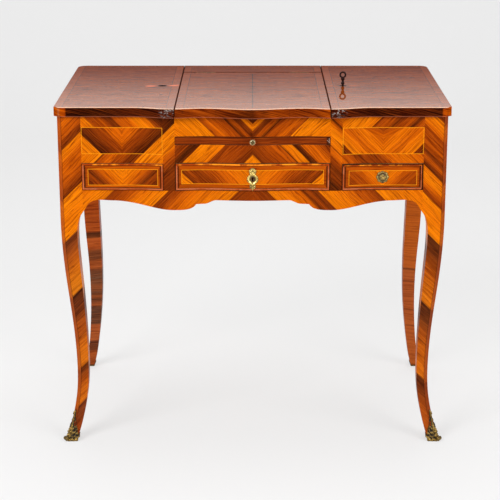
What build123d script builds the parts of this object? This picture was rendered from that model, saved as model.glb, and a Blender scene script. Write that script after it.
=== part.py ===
from build123d import *
import os

# Poudreuse dressing table. Millimetres, +Z up, front towards -Y, right-hand side towards +X.
# The origin is on the floor, midway between the sides and midway between the front and the back edge.

# ---------------------------------------------------------------- driving dimensions
# top
top_width = 800.0  # over the two side edges
bay_depth = 492.0  # top, from the straight part of its front edge to the back edge
top_height = 723.0  # floor to the top surface
lid_thickness = 19.0
top_cant = 11.0  # canted front corners of the top
top_back_radius = 20.0  # rounded back corners of the top
lid_arris = 0.8  # softened top edge
side_overhang = 6.0
front_overhang = 6.0
back_overhang = 20.0
# the serpentine front edge of the top, in plan
centre_swell = 22.0
recess_swell = 8.0
shoulder_swell = 16.0
recess_x = 112.0
shoulder_x = 165.0
bay_x = 240.0  # the edge is straight from here outwards
carcass_follow = 0.45  # share of the top's serpentine that the fronts below it follow
# bays of the front
seam_x = 156.0  # joint between the mirror lid and a side lid
seam_gap = 1.0
opening_x = 157.0  # inner edge of a divider stile
divider_width = 24.0
post = 47.5  # square post at the top of each leg
# heights of the front, from the floor
frieze_low = 664.0
slide_low = 646.5
centre_drawer_top = 609.5
side_drawer_top = 607.5
drawer_low = 551.5
# boards
front_thickness = 22.0
back_thickness = 16.0
side_thickness = 16.0
partition_thickness = 20.0
floor_thickness = 6.0
mirror_floor_thickness = 6.0
drawer_board = 8.0
drawer_bottom_thickness = 5.0
# lower edge of the front apron
apron_centre_z = 531.0
apron_ledge_z = 522.5  # outer end of the ledge
apron_ledge_rise = 0.8  # the inner end is higher
apron_lobe_z = 510.8
apron_peak_z = 529.5
apron_end_z = 505.0
apron_flat_x = 74.0
apron_ledge_x = 98.0
apron_ledge_width = 17.0
apron_lobe_x = 160.0
apron_peak_x = 284.0
apron_shoulder_x = 13.0  # from the post
apron_shoulder_z = 524.0
# lower edge of the side panels and of the back
side_shoulder_y = 22.0  # from the post
side_shoulder_z = 525.0
side_peak_y = 62.0  # from the post
side_peak_z = 531.0
side_dip_z = 519.0
back_edge_z = 531.0
# leg: how far its outer line lies outside the carcass face, at these heights, from the knee down
knee_z = 495.0
line_z = (366.0, 265.0, 165.0, 98.0, 48.0)
front_swing = (-6.3, -16.3, -22.0, -19.5, -10.5)
front_toe = 4.0
back_swing = (-3.0, -10.8, -12.4, -8.5, -2.0)
back_toe = 11.5
# leg: how far its inner line lies inside the carcass face
inner_z = (491.0, 458.0, 392.0, 317.0, 195.0, 112.0, 52.0)
front_inner = (39.5, 34.8, 37.5, 42.2, 46.6, 44.2, 34.2)
front_heel = 18.5
back_inner = (39.5, 35.3, 36.7, 39.6, 39.6, 32.6, 23.8)
back_heel = 11.0
leg_cant = 7.5
foot_slope = 0.42  # sideways per unit of height, where a leg meets the floor
knee_slope = 0.75  # the same for the inner line, where it leaves the apron
# sabots
sabot_sole = 2.0
sabot_wall = 2.2
sabot_ring = 13.0
sabot_height = 68.0
sabot_leaf = 25.0  # spread of the leaf on the ring
toe_radius = 5.0
toe_inset = 2.5  # foot corner to the middle of the scrolled toe
toe_width = 10.0
# fits
running_gap = 0.3
drawer_gap = 0.8
pin_clearance = 0.05
# bead round the drawer fronts
bead_width = 4.2
bead_proud = 1.6
# hinges of the side lids
hinge_length = 44.0
hinge_knuckle = 2.5
hinge_pin = 1.0
hinge_leaf = 1.4
hinge_leaf_width = 14.0
hinge_spacing = 260.0
middle_knuckle = 16.0
knuckle_gap = 0.25
# hinges of the mirror lid
mirror_knuckle = 2.0
mirror_pin = 0.8
mirror_leaf_height = 15.0
mirror_hinge_x = 105.0
mirror_gap_back = 2.8  # pivot to the rear rail
mirror_web = 1.4  # plate between a knuckle and its leaf
mirror_leaf_drop = 2.4  # pivot to the top of the lid's leaf
rear_rail_depth = 88.0
# mirror
mirror_margin = 9.0  # frame to the front and back edges of the well
mirror_side_gap = 2.0  # frame to the ledges
mirror_frame_width = 9.0
mirror_frame_depth = 5.0
mirror_glass = 3.0
mirror_lip = 2.5
ledge_width = 12.0
ledge_height = 10.0
# locks of the side lids
keyhole_inset = 37.5  # seam to the middle of the keyhole
keyhole_y = 5.0
keyhole_radius = 2.5
keyhole_slot = 3.0
keyhole_length = 8.0
lock_depth = 14.0
lock_length = 28.0
lock_width = 26.0
lock_wall = 1.5
lock_gap = 2.5  # lock case to the partition
lock_inset = 7.5  # keyhole to the front end of the case
bolt_offset = 7.0  # keyhole to the front side of the bolt
bolt_drop = 4.0  # underside of the lid to the top of the bolt
bolt_clearance = 1.0  # bolt to its mortise
bolt_width = 9.0
bolt_height = 7.0
bolt_length = 20.0
bolt_throw = 8.0
strike_thickness = 1.2
strike_margin = 6.0  # mortise to the ends of the plate
# key
key_shank = 2.2
key_rise = 31.0
key_bow = 5.7
key_wire = 1.8
key_bit = 3.4
key_bit_width = 2.0
key_collar = 2.5  # these four are heights over the top, along the turned shank
key_neck = 6.0
key_waist = 10.0
key_bulge = 13.5
key_slim = 2.2  # radius at the waist and under the bow
key_round = 3.8  # radius at the two swellings
# writing slide
slide_depth = 330.0
knob_radius = 7.2
knob_reach = 17.4
knob_foot = 4.6
knob_foot_edge = 1.6
knob_foot_depth = 2.6
knob_neck = 2.4
runner_width = 12.0
runner_height = 10.0
# drawers
centre_drawer_depth = 400.0
right_drawer_depth = 380.0
drawer_side_height = 46.0
# centre drawer's lock and escutcheon
drawer_lock_width = 36.0
drawer_lock_height = 34.0
drawer_lock_depth = 10.0
drawer_bolt_width = 10.0
drawer_bolt_thickness = 4.0
drawer_bolt_rise = 6.0
drawer_bolt_length = 22.0
drawer_lock_plate = 3.0  # face of the lock to the bolt
drawer_keyhole_z = 571.0  # foot of the keyhole
drawer_eye_drop = 1.0  # the slot ends inside the keyhole's round eye
escutcheon_top = 600.4
escutcheon_low = 552.5
escutcheon_crown = (5.4, 596.0)  # half widths of the plate at these heights
escutcheon_neck = (6.0, 588.0)
escutcheon_wing = (12.0, 579.0)
escutcheon_waist = (10.2, 568.0)
escutcheon_tail = (3.6, 560.0)
escutcheon_plate = 2.5
# rosette pull of the right drawer
rosette_radius = 13.8
rosette_rim = 0.8
rosette_dome = 6.2
rosette_plate = 2.5
rosette_seat = 1.0  # the blank reaches this far behind the face, and the drawer front cuts it
rosette_neck = 2.2
rosette_throat = 1.0
rosette_ball = 3.6
rosette_reach = 12.0

# ---------------------------------------------------------------- derived places
half_top = top_width / 2
half_width = half_top - side_overhang
top_front = -(bay_depth + centre_swell) / 2 + centre_swell
top_back = top_front + bay_depth
front = top_front + front_overhang
back = top_back - back_overhang
carcass_top = top_height - lid_thickness
front_inner_face = front + front_thickness
back_inner_face = back - back_thickness
side_inner_face = half_width - side_thickness
post_x = half_width - post
divider_outer = opening_x + divider_width
partition_inner = divider_outer - partition_thickness
post_front = front + post
post_back = back - post
bay_middle = (divider_outer + post_x) / 2
rear_rail_front = top_back - rear_rail_depth + mirror_gap_back
mirror_pivot_y = top_back - rear_rail_depth
mirror_pivot_z = top_height - mirror_knuckle
mirror_lid_back = mirror_pivot_y - running_gap
lid_pivot_x = half_width + side_overhang / 2 + running_gap / 2
hinge_middle = (post_front + post_back) / 2
keyhole_x = seam_x + keyhole_inset
lock_near = divider_outer + lock_gap
lock_y = (keyhole_y - lock_inset, keyhole_y - lock_inset + lock_length)
bolt_y = (keyhole_y + bolt_offset, keyhole_y + bolt_offset + bolt_width)
bolt_z = (carcass_top - bolt_drop - bolt_height, carcass_top - bolt_drop)
mortise_y = (bolt_y[0] - bolt_clearance, bolt_y[1] + bolt_clearance)
mortise_z = (bolt_z[0] - bolt_clearance, bolt_z[1] + bolt_clearance)
strike_y = (mortise_y[0] - strike_margin, mortise_y[1] + strike_margin)
strike_z = (carcass_top - lock_depth, carcass_top)
lock_face = front_inner_face - drawer_lock_depth
drawer_bolt_y = (lock_face + drawer_lock_plate, lock_face + drawer_lock_plate + drawer_bolt_thickness)
drawer_key_eye = drawer_keyhole_z + keyhole_length - drawer_eye_drop
field_front = front - carcass_follow * centre_swell
far = 900.0  # longer than the table in any direction

os.makedirs("parts", exist_ok=True)


# ---------------------------------------------------------------- helpers
def slab(x, y, z, mode=Mode.ADD):
    """A box between two x, two y and two z."""
    with BuildSketch(Plane.XY.offset(min(z))) as base:
        with Locations(((x[0] + x[1]) / 2, (y[0] + y[1]) / 2)):
            Rectangle(abs(x[1] - x[0]), abs(y[1] - y[0]))
    extrude(base.sketch, amount=abs(z[1] - z[0]), mode=mode)


def rod(plane, radius, length, mode=Mode.ADD):
    """A round bar centred on the plane's origin, along its normal."""
    with BuildSketch(plane) as section:
        Circle(radius)
    extrude(section.sketch, amount=length / 2, both=True, mode=mode)


def curve(points, start, end):
    """A smooth line through the points that leaves along start and arrives along end."""
    Spline(points, tangents=(start, end), tangent_scalars=(1.0, 1.0))


def serpentine(y, follow):
    """The front line in plan, with its straight bay_x ends at y."""
    half = ((shoulder_x, shoulder_swell), (recess_x, recess_swell))
    left = [(-x, y - follow * swell) for x, swell in half]
    right = [(x, y - follow * swell) for x, swell in reversed(half)]
    knots = [(-bay_x, y), *left, (0, y - follow * centre_swell), *right, (bay_x, y)]
    curve(knots, (1, 0), (1, 0))


def front_plan(x, y_front, y_back, follow=carcass_follow):
    """Plan of a piece between two x, with the serpentine in front and a straight back."""
    with BuildLine() as outline:
        serpentine(y_front, follow)
        right_end = (bay_x, y_front), (half_top, y_front), (half_top, y_back)
        left_end = (-half_top, y_back), (-half_top, y_front), (-bay_x, y_front)
        Polyline(*right_end, *left_end)
    make_face(outline.line)
    with Locations(((x[0] + x[1]) / 2, 0)):
        Rectangle(abs(x[1] - x[0]), far * 2, mode=Mode.INTERSECT)


def strip_plan(x, y_near, y_far):
    """Plan of a strip between two parallel serpentine lines."""
    with BuildLine() as outline:
        serpentine(y_near, carcass_follow)
        Line((bay_x, y_near), (half_top, y_near))
        Line((half_top, y_near), (half_top, y_far))
        Line((half_top, y_far), (bay_x, y_far))
        serpentine(y_far, carcass_follow)
        Line((-bay_x, y_far), (-half_top, y_far))
        Line((-half_top, y_far), (-half_top, y_near))
        Line((-half_top, y_near), (-bay_x, y_near))
    make_face(outline.line)
    with Locations(((x[0] + x[1]) / 2, 0)):
        Rectangle(abs(x[1] - x[0]), far * 2, mode=Mode.INTERSECT)


def front_board(x, z, y_front=front, y_back=front_inner_face):
    """A front piece between two x and two z."""
    with BuildSketch(Plane.XY.offset(z[0])) as plan:
        front_plan(x, y_front, y_back)
    extrude(plan.sketch, amount=z[1] - z[0])


def drawer_face(x, z):
    """A drawer front with a bead that stands proud round its edge."""
    front_board(x, z, y_front=front - bead_proud)
    field_x = x[0] + bead_width, x[1] - bead_width
    with BuildSketch(Plane.XY.offset(z[0] + bead_width)) as field:
        strip_plan(field_x, front - bead_proud * 2, front)
    extrude(field.sketch, amount=z[1] - z[0] - 2 * bead_width, mode=Mode.SUBTRACT)


def top_plan(x, y):
    """Plan of one piece of the top: the whole top's outline, cut to two x and two y."""
    with BuildLine() as outline:
        serpentine(top_front, 1.0)
        side = top_front + top_cant
        cant_x = half_top - top_cant
        right_end = (bay_x, top_front), (cant_x, top_front), (half_top, side), (half_top, top_back)
        left_end = (-half_top, top_back), (-half_top, side), (-cant_x, top_front), (-bay_x, top_front)
        Polyline(*right_end, *left_end)
    make_face(outline.line)
    fillet(vertices().group_by(Axis.Y)[-1], radius=top_back_radius)
    with Locations(((x[0] + x[1]) / 2, (y[0] + y[1]) / 2)):
        Rectangle(abs(x[1] - x[0]), abs(y[1] - y[0]), mode=Mode.INTERSECT)


def save(piece, name):
    """Label a finished piece and write its STEP file."""
    piece.part.label = name
    export_step(piece.part, f"parts/{name}.step")


# ---------------------------------------------------------------- legs and sabots
def leg_outline(face, out, swing, toe, inner, heel, grow=0.0):
    """Side outline of a leg whose carcass face lies at face, out being +1 or -1, outwards."""
    outer_line = [(0.0, knee_z), *zip(swing, line_z), (toe, 0.0)]
    inner_line = [(post, apron_end_z), *zip(inner, inner_z), (heel, 0.0)]
    outer_points = [(face + out * (d + grow), z) for d, z in outer_line]
    inner_points = [(face - out * (d + grow), z) for d, z in inner_line]
    with BuildLine() as outline:
        curve(outer_points, (0, -1), (out * foot_slope, -1))
        curve(inner_points, (out * knee_slope, -1), (out * foot_slope, -1))
        Line(outer_points[-1], inner_points[-1])
        top_out, top_in = (outer_points[0][0], carcass_top), (inner_points[0][0], carcass_top)
        Polyline(outer_points[0], top_out, top_in, inner_points[0])
    make_face(outline.line)


def corner_plane(side, end, x, y):
    """Upright plane through a leg's outer corner, its x axis pointing outwards on the diagonal."""
    return Plane(origin=(side * x, y, 0), x_dir=(side, end, 0), z_dir=(end, -side, 0))


def cant_outline(swing_x, toe_x, swing_y, toe_y):
    """Diagonal outline that leaves the canted outer corner."""
    diagonal = 2**0.5
    swings = [(a + b) / diagonal for a, b in zip((0.0, *swing_x, toe_x), (0.0, *swing_y, toe_y))]
    heights = (knee_z, *line_z, 0.0)
    points = [(d - leg_cant / diagonal, z) for d, z in zip(swings, heights)]
    inside = -half_width / 2
    with BuildLine() as outline:
        curve(points, (0, -1), (foot_slope * diagonal, -1))
        Polyline(points[-1], (inside, 0.0), (inside, carcass_top), (points[0][0], carcass_top), points[0])
    make_face(outline.line)


def leg_solid(side, end, x_line, y_line, grow=0.0):
    """The square leg: one outline sawn across the front, the same kind of outline across the side."""
    face_y = front if end < 0 else back
    with BuildSketch(Plane.XZ.offset(-far)) as across:
        leg_outline(side * half_width, side, *x_line, grow)
    extrude(across.sketch, amount=2 * far)
    with BuildSketch(Plane.YZ.offset(-far)) as along:
        leg_outline(face_y, end, *y_line, grow)
    extrude(along.sketch, amount=2 * far, mode=Mode.INTERSECT)


front_line = (front_swing, front_toe, front_inner, front_heel)
back_line = (back_swing, back_toe, back_inner, back_heel)
corners = (
    ("front_left", -1, -1, front_line),
    ("front_right", 1, -1, front_line),
    ("back_left", -1, 1, back_line),
    ("back_right", 1, 1, back_line),
)
for corner, side, end, x_line in corners:
    face_y = front if end < 0 else back
    with BuildPart() as leg:
        leg_solid(side, end, x_line, front_line)
        with BuildSketch(corner_plane(side, end, half_width, face_y).offset(-far)):
            cant_outline(x_line[0], x_line[1], front_swing, front_toe)
        extrude(amount=2 * far, mode=Mode.INTERSECT)
        slab((-far, far), (-far, far), (sabot_sole, carcass_top), Mode.INTERSECT)
    save(leg, f"leg_{corner}")

    foot_corner = corner_plane(side, end, half_width + x_line[1], face_y + end * front_toe)
    tip = (x_line[0][-1] + front_swing[-1] - x_line[1] - front_toe) / 2**0.5 * 1.35
    with BuildPart() as sabot:
        leg_solid(side, end, x_line, front_line, sabot_wall)
        slab((-far, far), (-far, far), (0.0, sabot_height), Mode.INTERSECT)
        with BuildSketch(foot_corner.offset(-far)):
            with BuildLine():
                leaf = (-sabot_leaf, sabot_ring), (tip, sabot_height), (half_width, sabot_height)
                Polyline((-half_width, 0), (-half_width, sabot_ring), *leaf, (half_width, 0), close=True)
            make_face()
        extrude(amount=2 * far, mode=Mode.INTERSECT)
        with BuildSketch(foot_corner):
            with Locations((-toe_inset, toe_radius)):
                Circle(toe_radius)
        extrude(amount=toe_width / 2, both=True)
        add(leg.part, mode=Mode.SUBTRACT)
    save(sabot, f"sabot_{corner}")

# ---------------------------------------------------------------- carcass
for name, s in (("left", -1), ("right", 1)):
    with BuildPart() as side_panel:
        with BuildSketch(Plane.YZ.offset(s * half_width)):
            with BuildLine():
                shoulder = (post_front + side_shoulder_y, side_shoulder_z)
                peak = (post_front + side_peak_y, side_peak_z)
                lower = [(post_front, apron_end_z), shoulder, peak]
                rest = [(2 * hinge_middle - y, z) for y, z in reversed(lower)]
                curve([*lower, (hinge_middle, side_dip_z), *rest], (knee_slope, 1), (knee_slope, -1))
                Polyline(rest[-1], (post_back, carcass_top), (post_front, carcass_top), lower[0])
            make_face()
        extrude(amount=-s * side_thickness)
        for y in (hinge_middle - hinge_spacing / 2, hinge_middle + hinge_spacing / 2):
            x = (s * (half_width - hinge_leaf_width), s * far)
            y_hinge = (y - hinge_length / 2, y + hinge_length / 2)
            slab(x, y_hinge, (carcass_top - hinge_leaf, carcass_top), Mode.SUBTRACT)
    save(side_panel, f"side_panel_{name}")

with BuildPart() as back_panel:
    slab((-post_x, post_x), (back_inner_face, back), (back_edge_z, carcass_top))
save(back_panel, "back_panel")

with BuildPart() as front_apron:
    with BuildSketch(Plane.XY.offset(apron_end_z - far)):
        front_plan((-post_x, post_x), front, front_inner_face)
    extrude(amount=far + drawer_low - apron_end_z)
    with BuildSketch(Plane.XZ.offset(-far)):
        with BuildLine():
            ledge_end = apron_ledge_x + apron_ledge_width
            flat = (apron_flat_x, apron_centre_z)
            ledge_in = (apron_ledge_x, apron_ledge_z + apron_ledge_rise)
            ledge_out = (ledge_end, apron_ledge_z)
            lobe, peak = (apron_lobe_x, apron_lobe_z), (apron_peak_x, apron_peak_z)
            shoulder = (post_x - apron_shoulder_x, apron_shoulder_z)
            post_end = (post_x, apron_end_z)
            Line((0, apron_centre_z), flat)
            curve([flat, ledge_in], (1, 0), (1, 0))
            Line(ledge_in, ledge_out)
            curve([ledge_out, lobe], (0.6, -1), (1, 0))
            curve([lobe, peak], (1, 0), (1, 0))
            curve([peak, shoulder, post_end], (1, 0), (knee_slope, -1))
            Polyline(post_end, (post_x, drawer_low), (0, drawer_low), (0, apron_centre_z))
        make_face()
        mirror(about=Plane.YZ)
    extrude(amount=2 * far, mode=Mode.INTERSECT)
save(front_apron, "front_apron")

for name, s in (("left", -1), ("right", 1)):
    with BuildPart() as upper_front:
        x = sorted((s * divider_outer, s * post_x))
        front_board(x, (side_drawer_top, carcass_top))
    save(upper_front, f"upper_front_{name}")

    with BuildPart() as divider:
        x = sorted((s * opening_x, s * divider_outer))
        front_board(x, (drawer_low, carcass_top))
    save(divider, f"divider_stile_{name}")

    with BuildPart() as partition:
        x = s * partition_inner, s * divider_outer
        slab(x, (front_inner_face, back_inner_face), (drawer_low, carcass_top))
        strike_x = s * (divider_outer - strike_thickness), s * divider_outer
        slab(strike_x, strike_y, strike_z, Mode.SUBTRACT)
        mortise_x = s * (divider_outer - bolt_throw), s * divider_outer
        slab(mortise_x, mortise_y, mortise_z, Mode.SUBTRACT)
    save(partition, f"partition_{name}")

with BuildPart() as false_drawer_front:
    drawer_face((-post_x, -divider_outer), (drawer_low, side_drawer_top))
save(false_drawer_front, "false_drawer_front")

with BuildPart() as frieze_rail:
    front_board((-opening_x, opening_x), (frieze_low, carcass_top))
save(frieze_rail, "frieze_rail")

with BuildPart() as centre_rail:
    front_board((-opening_x, opening_x), (centre_drawer_top, slide_low))
    half_mortise = drawer_bolt_width / 2 + bolt_clearance
    slab(
        (-half_mortise, half_mortise),
        (drawer_bolt_y[0] - bolt_clearance, drawer_bolt_y[1] + bolt_clearance),
        (centre_drawer_top, centre_drawer_top + drawer_bolt_rise + bolt_clearance),
        Mode.SUBTRACT,
    )
save(centre_rail, "centre_rail")


def well_floor(s, z):
    """Floor of a side well, notched round the two posts."""
    slab((s * divider_outer, s * side_inner_face), (front_inner_face, back_inner_face), z)
    for y in ((front, post_front), (post_back, back)):
        slab((s * post_x, s * half_width), y, z, Mode.SUBTRACT)


with BuildPart() as well_floor_left:
    well_floor(-1, (drawer_low, drawer_low + floor_thickness))
save(well_floor_left, "well_floor_left")

with BuildPart() as well_floor_right:
    well_floor(1, (side_drawer_top, side_drawer_top + floor_thickness))
save(well_floor_right, "well_floor_right")

inside_y = (front_inner_face, back_inner_face)
with BuildPart() as mirror_well_floor:
    floor_z = frieze_low + running_gap
    slab((-partition_inner, partition_inner), inside_y, (floor_z, floor_z + mirror_floor_thickness))
save(mirror_well_floor, "mirror_well_floor")

with BuildPart() as mirror_lid_ledges:
    for s in (-1, 1):
        x = s * (partition_inner - ledge_width), s * partition_inner
        slab(x, inside_y, (carcass_top - ledge_height, carcass_top))
save(mirror_lid_ledges, "mirror_lid_ledges")

with BuildPart() as slide_runners:
    for s in (-1, 1):
        x = s * (partition_inner - runner_width), s * partition_inner
        slab(x, inside_y, (slide_low - runner_height, slide_low))
save(slide_runners, "slide_runners")

with BuildPart() as centre_drawer_runners:
    for s in (-1, 1):
        x = s * (partition_inner - runner_width), s * partition_inner
        slab(x, inside_y, (drawer_low - runner_height, drawer_low))
save(centre_drawer_runners, "centre_drawer_runners")

with BuildPart() as right_drawer_runners:
    for x in ((divider_outer, divider_outer + runner_width), (post_x - runner_width, post_x)):
        slab(x, inside_y, (drawer_low - runner_height, drawer_low))
save(right_drawer_runners, "right_drawer_runners")

with BuildPart() as rear_top_rail:
    with BuildSketch(Plane.XY.offset(carcass_top)):
        x = seam_x - seam_gap / 2
        top_plan((-x, x), (rear_rail_front, top_back))
    extrude(amount=lid_thickness)
    for x in (-mirror_hinge_x, mirror_hinge_x):
        x_hinge = x - hinge_length / 2, x + hinge_length / 2
        leaf_z = mirror_pivot_z - mirror_leaf_height, mirror_pivot_z
        slab(x_hinge, (rear_rail_front, rear_rail_front + hinge_leaf), leaf_z, Mode.SUBTRACT)
save(rear_top_rail, "rear_top_rail")

with BuildPart() as strike_plates:
    for s in (-1, 1):
        strike_x = s * (divider_outer - strike_thickness), s * divider_outer
        slab(strike_x, strike_y, strike_z)
        slab(strike_x, mortise_y, mortise_z, Mode.SUBTRACT)
save(strike_plates, "strike_plates")

# ---------------------------------------------------------------- lids
for name, s in (("left", -1), ("right", 1)):
    with BuildPart() as lid:
        with BuildSketch(Plane.XY.offset(carcass_top)):
            top_plan((s * (seam_x + seam_gap / 2), s * far), (-far, far))
        extrude(amount=lid_thickness)
        chamfer(faces().sort_by(Axis.Z)[-1].edges(), length=lid_arris)
        for y in (hinge_middle - hinge_spacing / 2, hinge_middle + hinge_spacing / 2):
            y_hinge = (y - hinge_length / 2, y + hinge_length / 2)
            leaf_x = s * (half_width - hinge_leaf_width), s * far
            slab(leaf_x, y_hinge, (carcass_top, carcass_top + hinge_leaf), Mode.SUBTRACT)
            notch_x = s * (half_width + running_gap), s * far
            notch_z = carcass_top, carcass_top + hinge_knuckle + running_gap * 2
            slab(notch_x, y_hinge, notch_z, Mode.SUBTRACT)
        with BuildSketch(Plane.XY.offset(carcass_top)):
            with Locations((s * keyhole_x, keyhole_y)):
                Circle(keyhole_radius)
            with Locations((s * keyhole_x, keyhole_y - keyhole_length / 2)):
                Rectangle(keyhole_slot, keyhole_length)
        extrude(amount=lid_thickness, mode=Mode.SUBTRACT)
    save(lid, f"lid_{name}")

with BuildPart() as mirror_lid:
    with BuildSketch(Plane.XY.offset(carcass_top)):
        x = seam_x - seam_gap / 2
        top_plan((-x, x), (-far, mirror_lid_back))
    extrude(amount=lid_thickness)
    chamfer(faces().sort_by(Axis.Z)[-1].edges(), length=lid_arris)
    for x in (-mirror_hinge_x, mirror_hinge_x):
        x_hinge = x - hinge_length / 2, x + hinge_length / 2
        leaf_z = mirror_pivot_z - mirror_leaf_height, mirror_pivot_z
        slab(x_hinge, (mirror_lid_back - hinge_leaf, mirror_lid_back), leaf_z, Mode.SUBTRACT)
        notch_y = mirror_pivot_y - mirror_knuckle - running_gap
        notch_z = mirror_pivot_z - mirror_leaf_drop, top_height
        slab(x_hinge, (notch_y, mirror_lid_back), notch_z, Mode.SUBTRACT)
save(mirror_lid, "mirror_lid")

frame_x = partition_inner - ledge_width - mirror_side_gap
frame_y = (front_inner_face + mirror_margin, mirror_lid_back - mirror_margin)
frame_low = carcass_top - mirror_frame_depth
glass_x = frame_x - mirror_frame_width + mirror_lip
glass_y = (frame_y[0] + mirror_frame_width - mirror_lip, frame_y[1] - mirror_frame_width + mirror_lip)
glass_top = carcass_top - running_gap
with BuildPart() as mirror_frame:
    slab((-frame_x, frame_x), frame_y, (frame_low, carcass_top))
    slab(
        (-glass_x - running_gap, glass_x + running_gap),
        (glass_y[0] - running_gap, glass_y[1] + running_gap),
        (glass_top - mirror_glass, carcass_top),
        Mode.SUBTRACT,
    )
    slab(
        (-glass_x + mirror_lip, glass_x - mirror_lip),
        (glass_y[0] + mirror_lip, glass_y[1] - mirror_lip),
        (frame_low, carcass_top),
        Mode.SUBTRACT,
    )
save(mirror_frame, "mirror_frame")

with BuildPart() as mirror_plate:
    slab((-glass_x, glass_x), glass_y, (glass_top - mirror_glass, glass_top))
save(mirror_plate, "mirror_glass")

# ---------------------------------------------------------------- hinges
side_hinges = [(s, hinge_middle + e * hinge_spacing / 2) for s in (-1, 1) for e in (-1, 1)]


def side_knuckle(s, y, low, high, leaf_z, web_x):
    """One knuckle of a side hinge, from low to high along the pin, with its web to the leaf."""
    slab((s * web_x, s * lid_pivot_x), (y + low, y + high), leaf_z)
    middle = (low + high) / 2
    plane = Plane(origin=(s * lid_pivot_x, y + middle, carcass_top), x_dir=(1, 0, 0), z_dir=(0, 1, 0))
    rod(plane, hinge_knuckle, high - low)


def side_bore(s, y):
    """The bore for the pin, through all knuckles of a side hinge."""
    plane = Plane(origin=(s * lid_pivot_x, y, carcass_top), x_dir=(1, 0, 0), z_dir=(0, 1, 0))
    rod(plane, hinge_pin + pin_clearance, hinge_length, Mode.SUBTRACT)


def side_leaf(s, y, leaf_z):
    """The flat plate of a side hinge."""
    x = s * (half_width - hinge_leaf_width), s * (half_width + running_gap)
    slab(x, (y - hinge_length / 2, y + hinge_length / 2), leaf_z)


def mirror_knuckle_at(x, low, high, y_leaf):
    """One knuckle of a mirror hinge, from low to high along the pin, with its web to the leaf."""
    slab((x + low, x + high), (mirror_pivot_y, y_leaf), (mirror_pivot_z - mirror_web, mirror_pivot_z))
    middle = (low + high) / 2
    plane = Plane(origin=(x + middle, mirror_pivot_y, mirror_pivot_z), x_dir=(0, 1, 0), z_dir=(1, 0, 0))
    rod(plane, mirror_knuckle, high - low)


def mirror_bore(x):
    """The bore for the pin, through all knuckles of a mirror hinge."""
    plane = Plane(origin=(x, mirror_pivot_y, mirror_pivot_z), x_dir=(0, 1, 0), z_dir=(1, 0, 0))
    rod(plane, mirror_pin + pin_clearance, hinge_length, Mode.SUBTRACT)


half_hinge = hinge_length / 2
half_middle = middle_knuckle / 2
with BuildPart() as hinge_leaves_fixed:
    for s, y in side_hinges:
        leaf_z = carcass_top - hinge_leaf, carcass_top
        side_leaf(s, y, leaf_z)
        for low, high in ((-half_hinge, -half_middle), (half_middle, half_hinge)):
            side_knuckle(s, y, low, high, leaf_z, half_width)
        side_bore(s, y)
    for x in (-mirror_hinge_x, mirror_hinge_x):
        leaf_y = rear_rail_front, rear_rail_front + hinge_leaf
        leaf_z = mirror_pivot_z - mirror_leaf_height, mirror_pivot_z
        slab((x - half_hinge, x + half_hinge), leaf_y, leaf_z)
        for low, high in ((-half_hinge, -half_middle), (half_middle, half_hinge)):
            mirror_knuckle_at(x, low, high, leaf_y[1])
        mirror_bore(x)
save(hinge_leaves_fixed, "hinge_leaves_fixed")

for name, s in (("left", -1), ("right", 1)):
    with BuildPart() as lid_leaves:
        for side, y in side_hinges:
            if side == s:
                leaf_z = carcass_top, carcass_top + hinge_leaf
                side_leaf(s, y, leaf_z)
                middle = half_middle - knuckle_gap
                side_knuckle(s, y, -middle, middle, leaf_z, half_width)
                side_bore(s, y)
    save(lid_leaves, f"hinge_leaves_lid_{name}")

with BuildPart() as mirror_leaves:
    for x in (-mirror_hinge_x, mirror_hinge_x):
        leaf_y = mirror_lid_back - hinge_leaf, mirror_lid_back
        leaf_z = mirror_pivot_z - mirror_leaf_height, mirror_pivot_z - mirror_leaf_drop
        slab((x - half_hinge, x + half_hinge), leaf_y, leaf_z)
        middle = half_middle - knuckle_gap
        slab((x - middle, x + middle), leaf_y, (leaf_z[0], mirror_pivot_z))
        mirror_knuckle_at(x, -middle, middle, leaf_y[0])
        mirror_bore(x)
save(mirror_leaves, "hinge_leaves_mirror_lid")

with BuildPart() as hinge_pins:
    for s, y in side_hinges:
        plane = Plane(origin=(s * lid_pivot_x, y, carcass_top), x_dir=(1, 0, 0), z_dir=(0, 1, 0))
        rod(plane, hinge_pin, hinge_length)
    for x in (-mirror_hinge_x, mirror_hinge_x):
        plane = Plane(origin=(x, mirror_pivot_y, mirror_pivot_z), x_dir=(0, 1, 0), z_dir=(1, 0, 0))
        rod(plane, mirror_pin, hinge_length)
save(hinge_pins, "hinge_pins")

# ---------------------------------------------------------------- locks of the side lids
for name, s in (("left", -1), ("right", 1)):
    with BuildPart() as lock_case:
        case_x = (s * lock_near, s * (lock_near + lock_width))
        slab(case_x, lock_y, (carcass_top - lock_depth, carcass_top))
        slab(
            (s * (lock_near + lock_wall), s * (lock_near + lock_width - lock_wall)),
            (lock_y[0] + lock_wall, lock_y[1] - lock_wall),
            (carcass_top - lock_depth + lock_wall, carcass_top),
            Mode.SUBTRACT,
        )
        slab(
            (s * lock_near, s * (lock_near + lock_wall)),
            (bolt_y[0] - running_gap, bolt_y[1] + running_gap),
            (bolt_z[0] - running_gap, bolt_z[1] + running_gap),
            Mode.SUBTRACT,
        )
    save(lock_case, f"lock_case_{name}")

    with BuildPart() as lock_bolt:
        slab((s * lock_near, s * (lock_near + bolt_length)), bolt_y, bolt_z)
    save(lock_bolt, f"lock_bolt_{name}")

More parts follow.
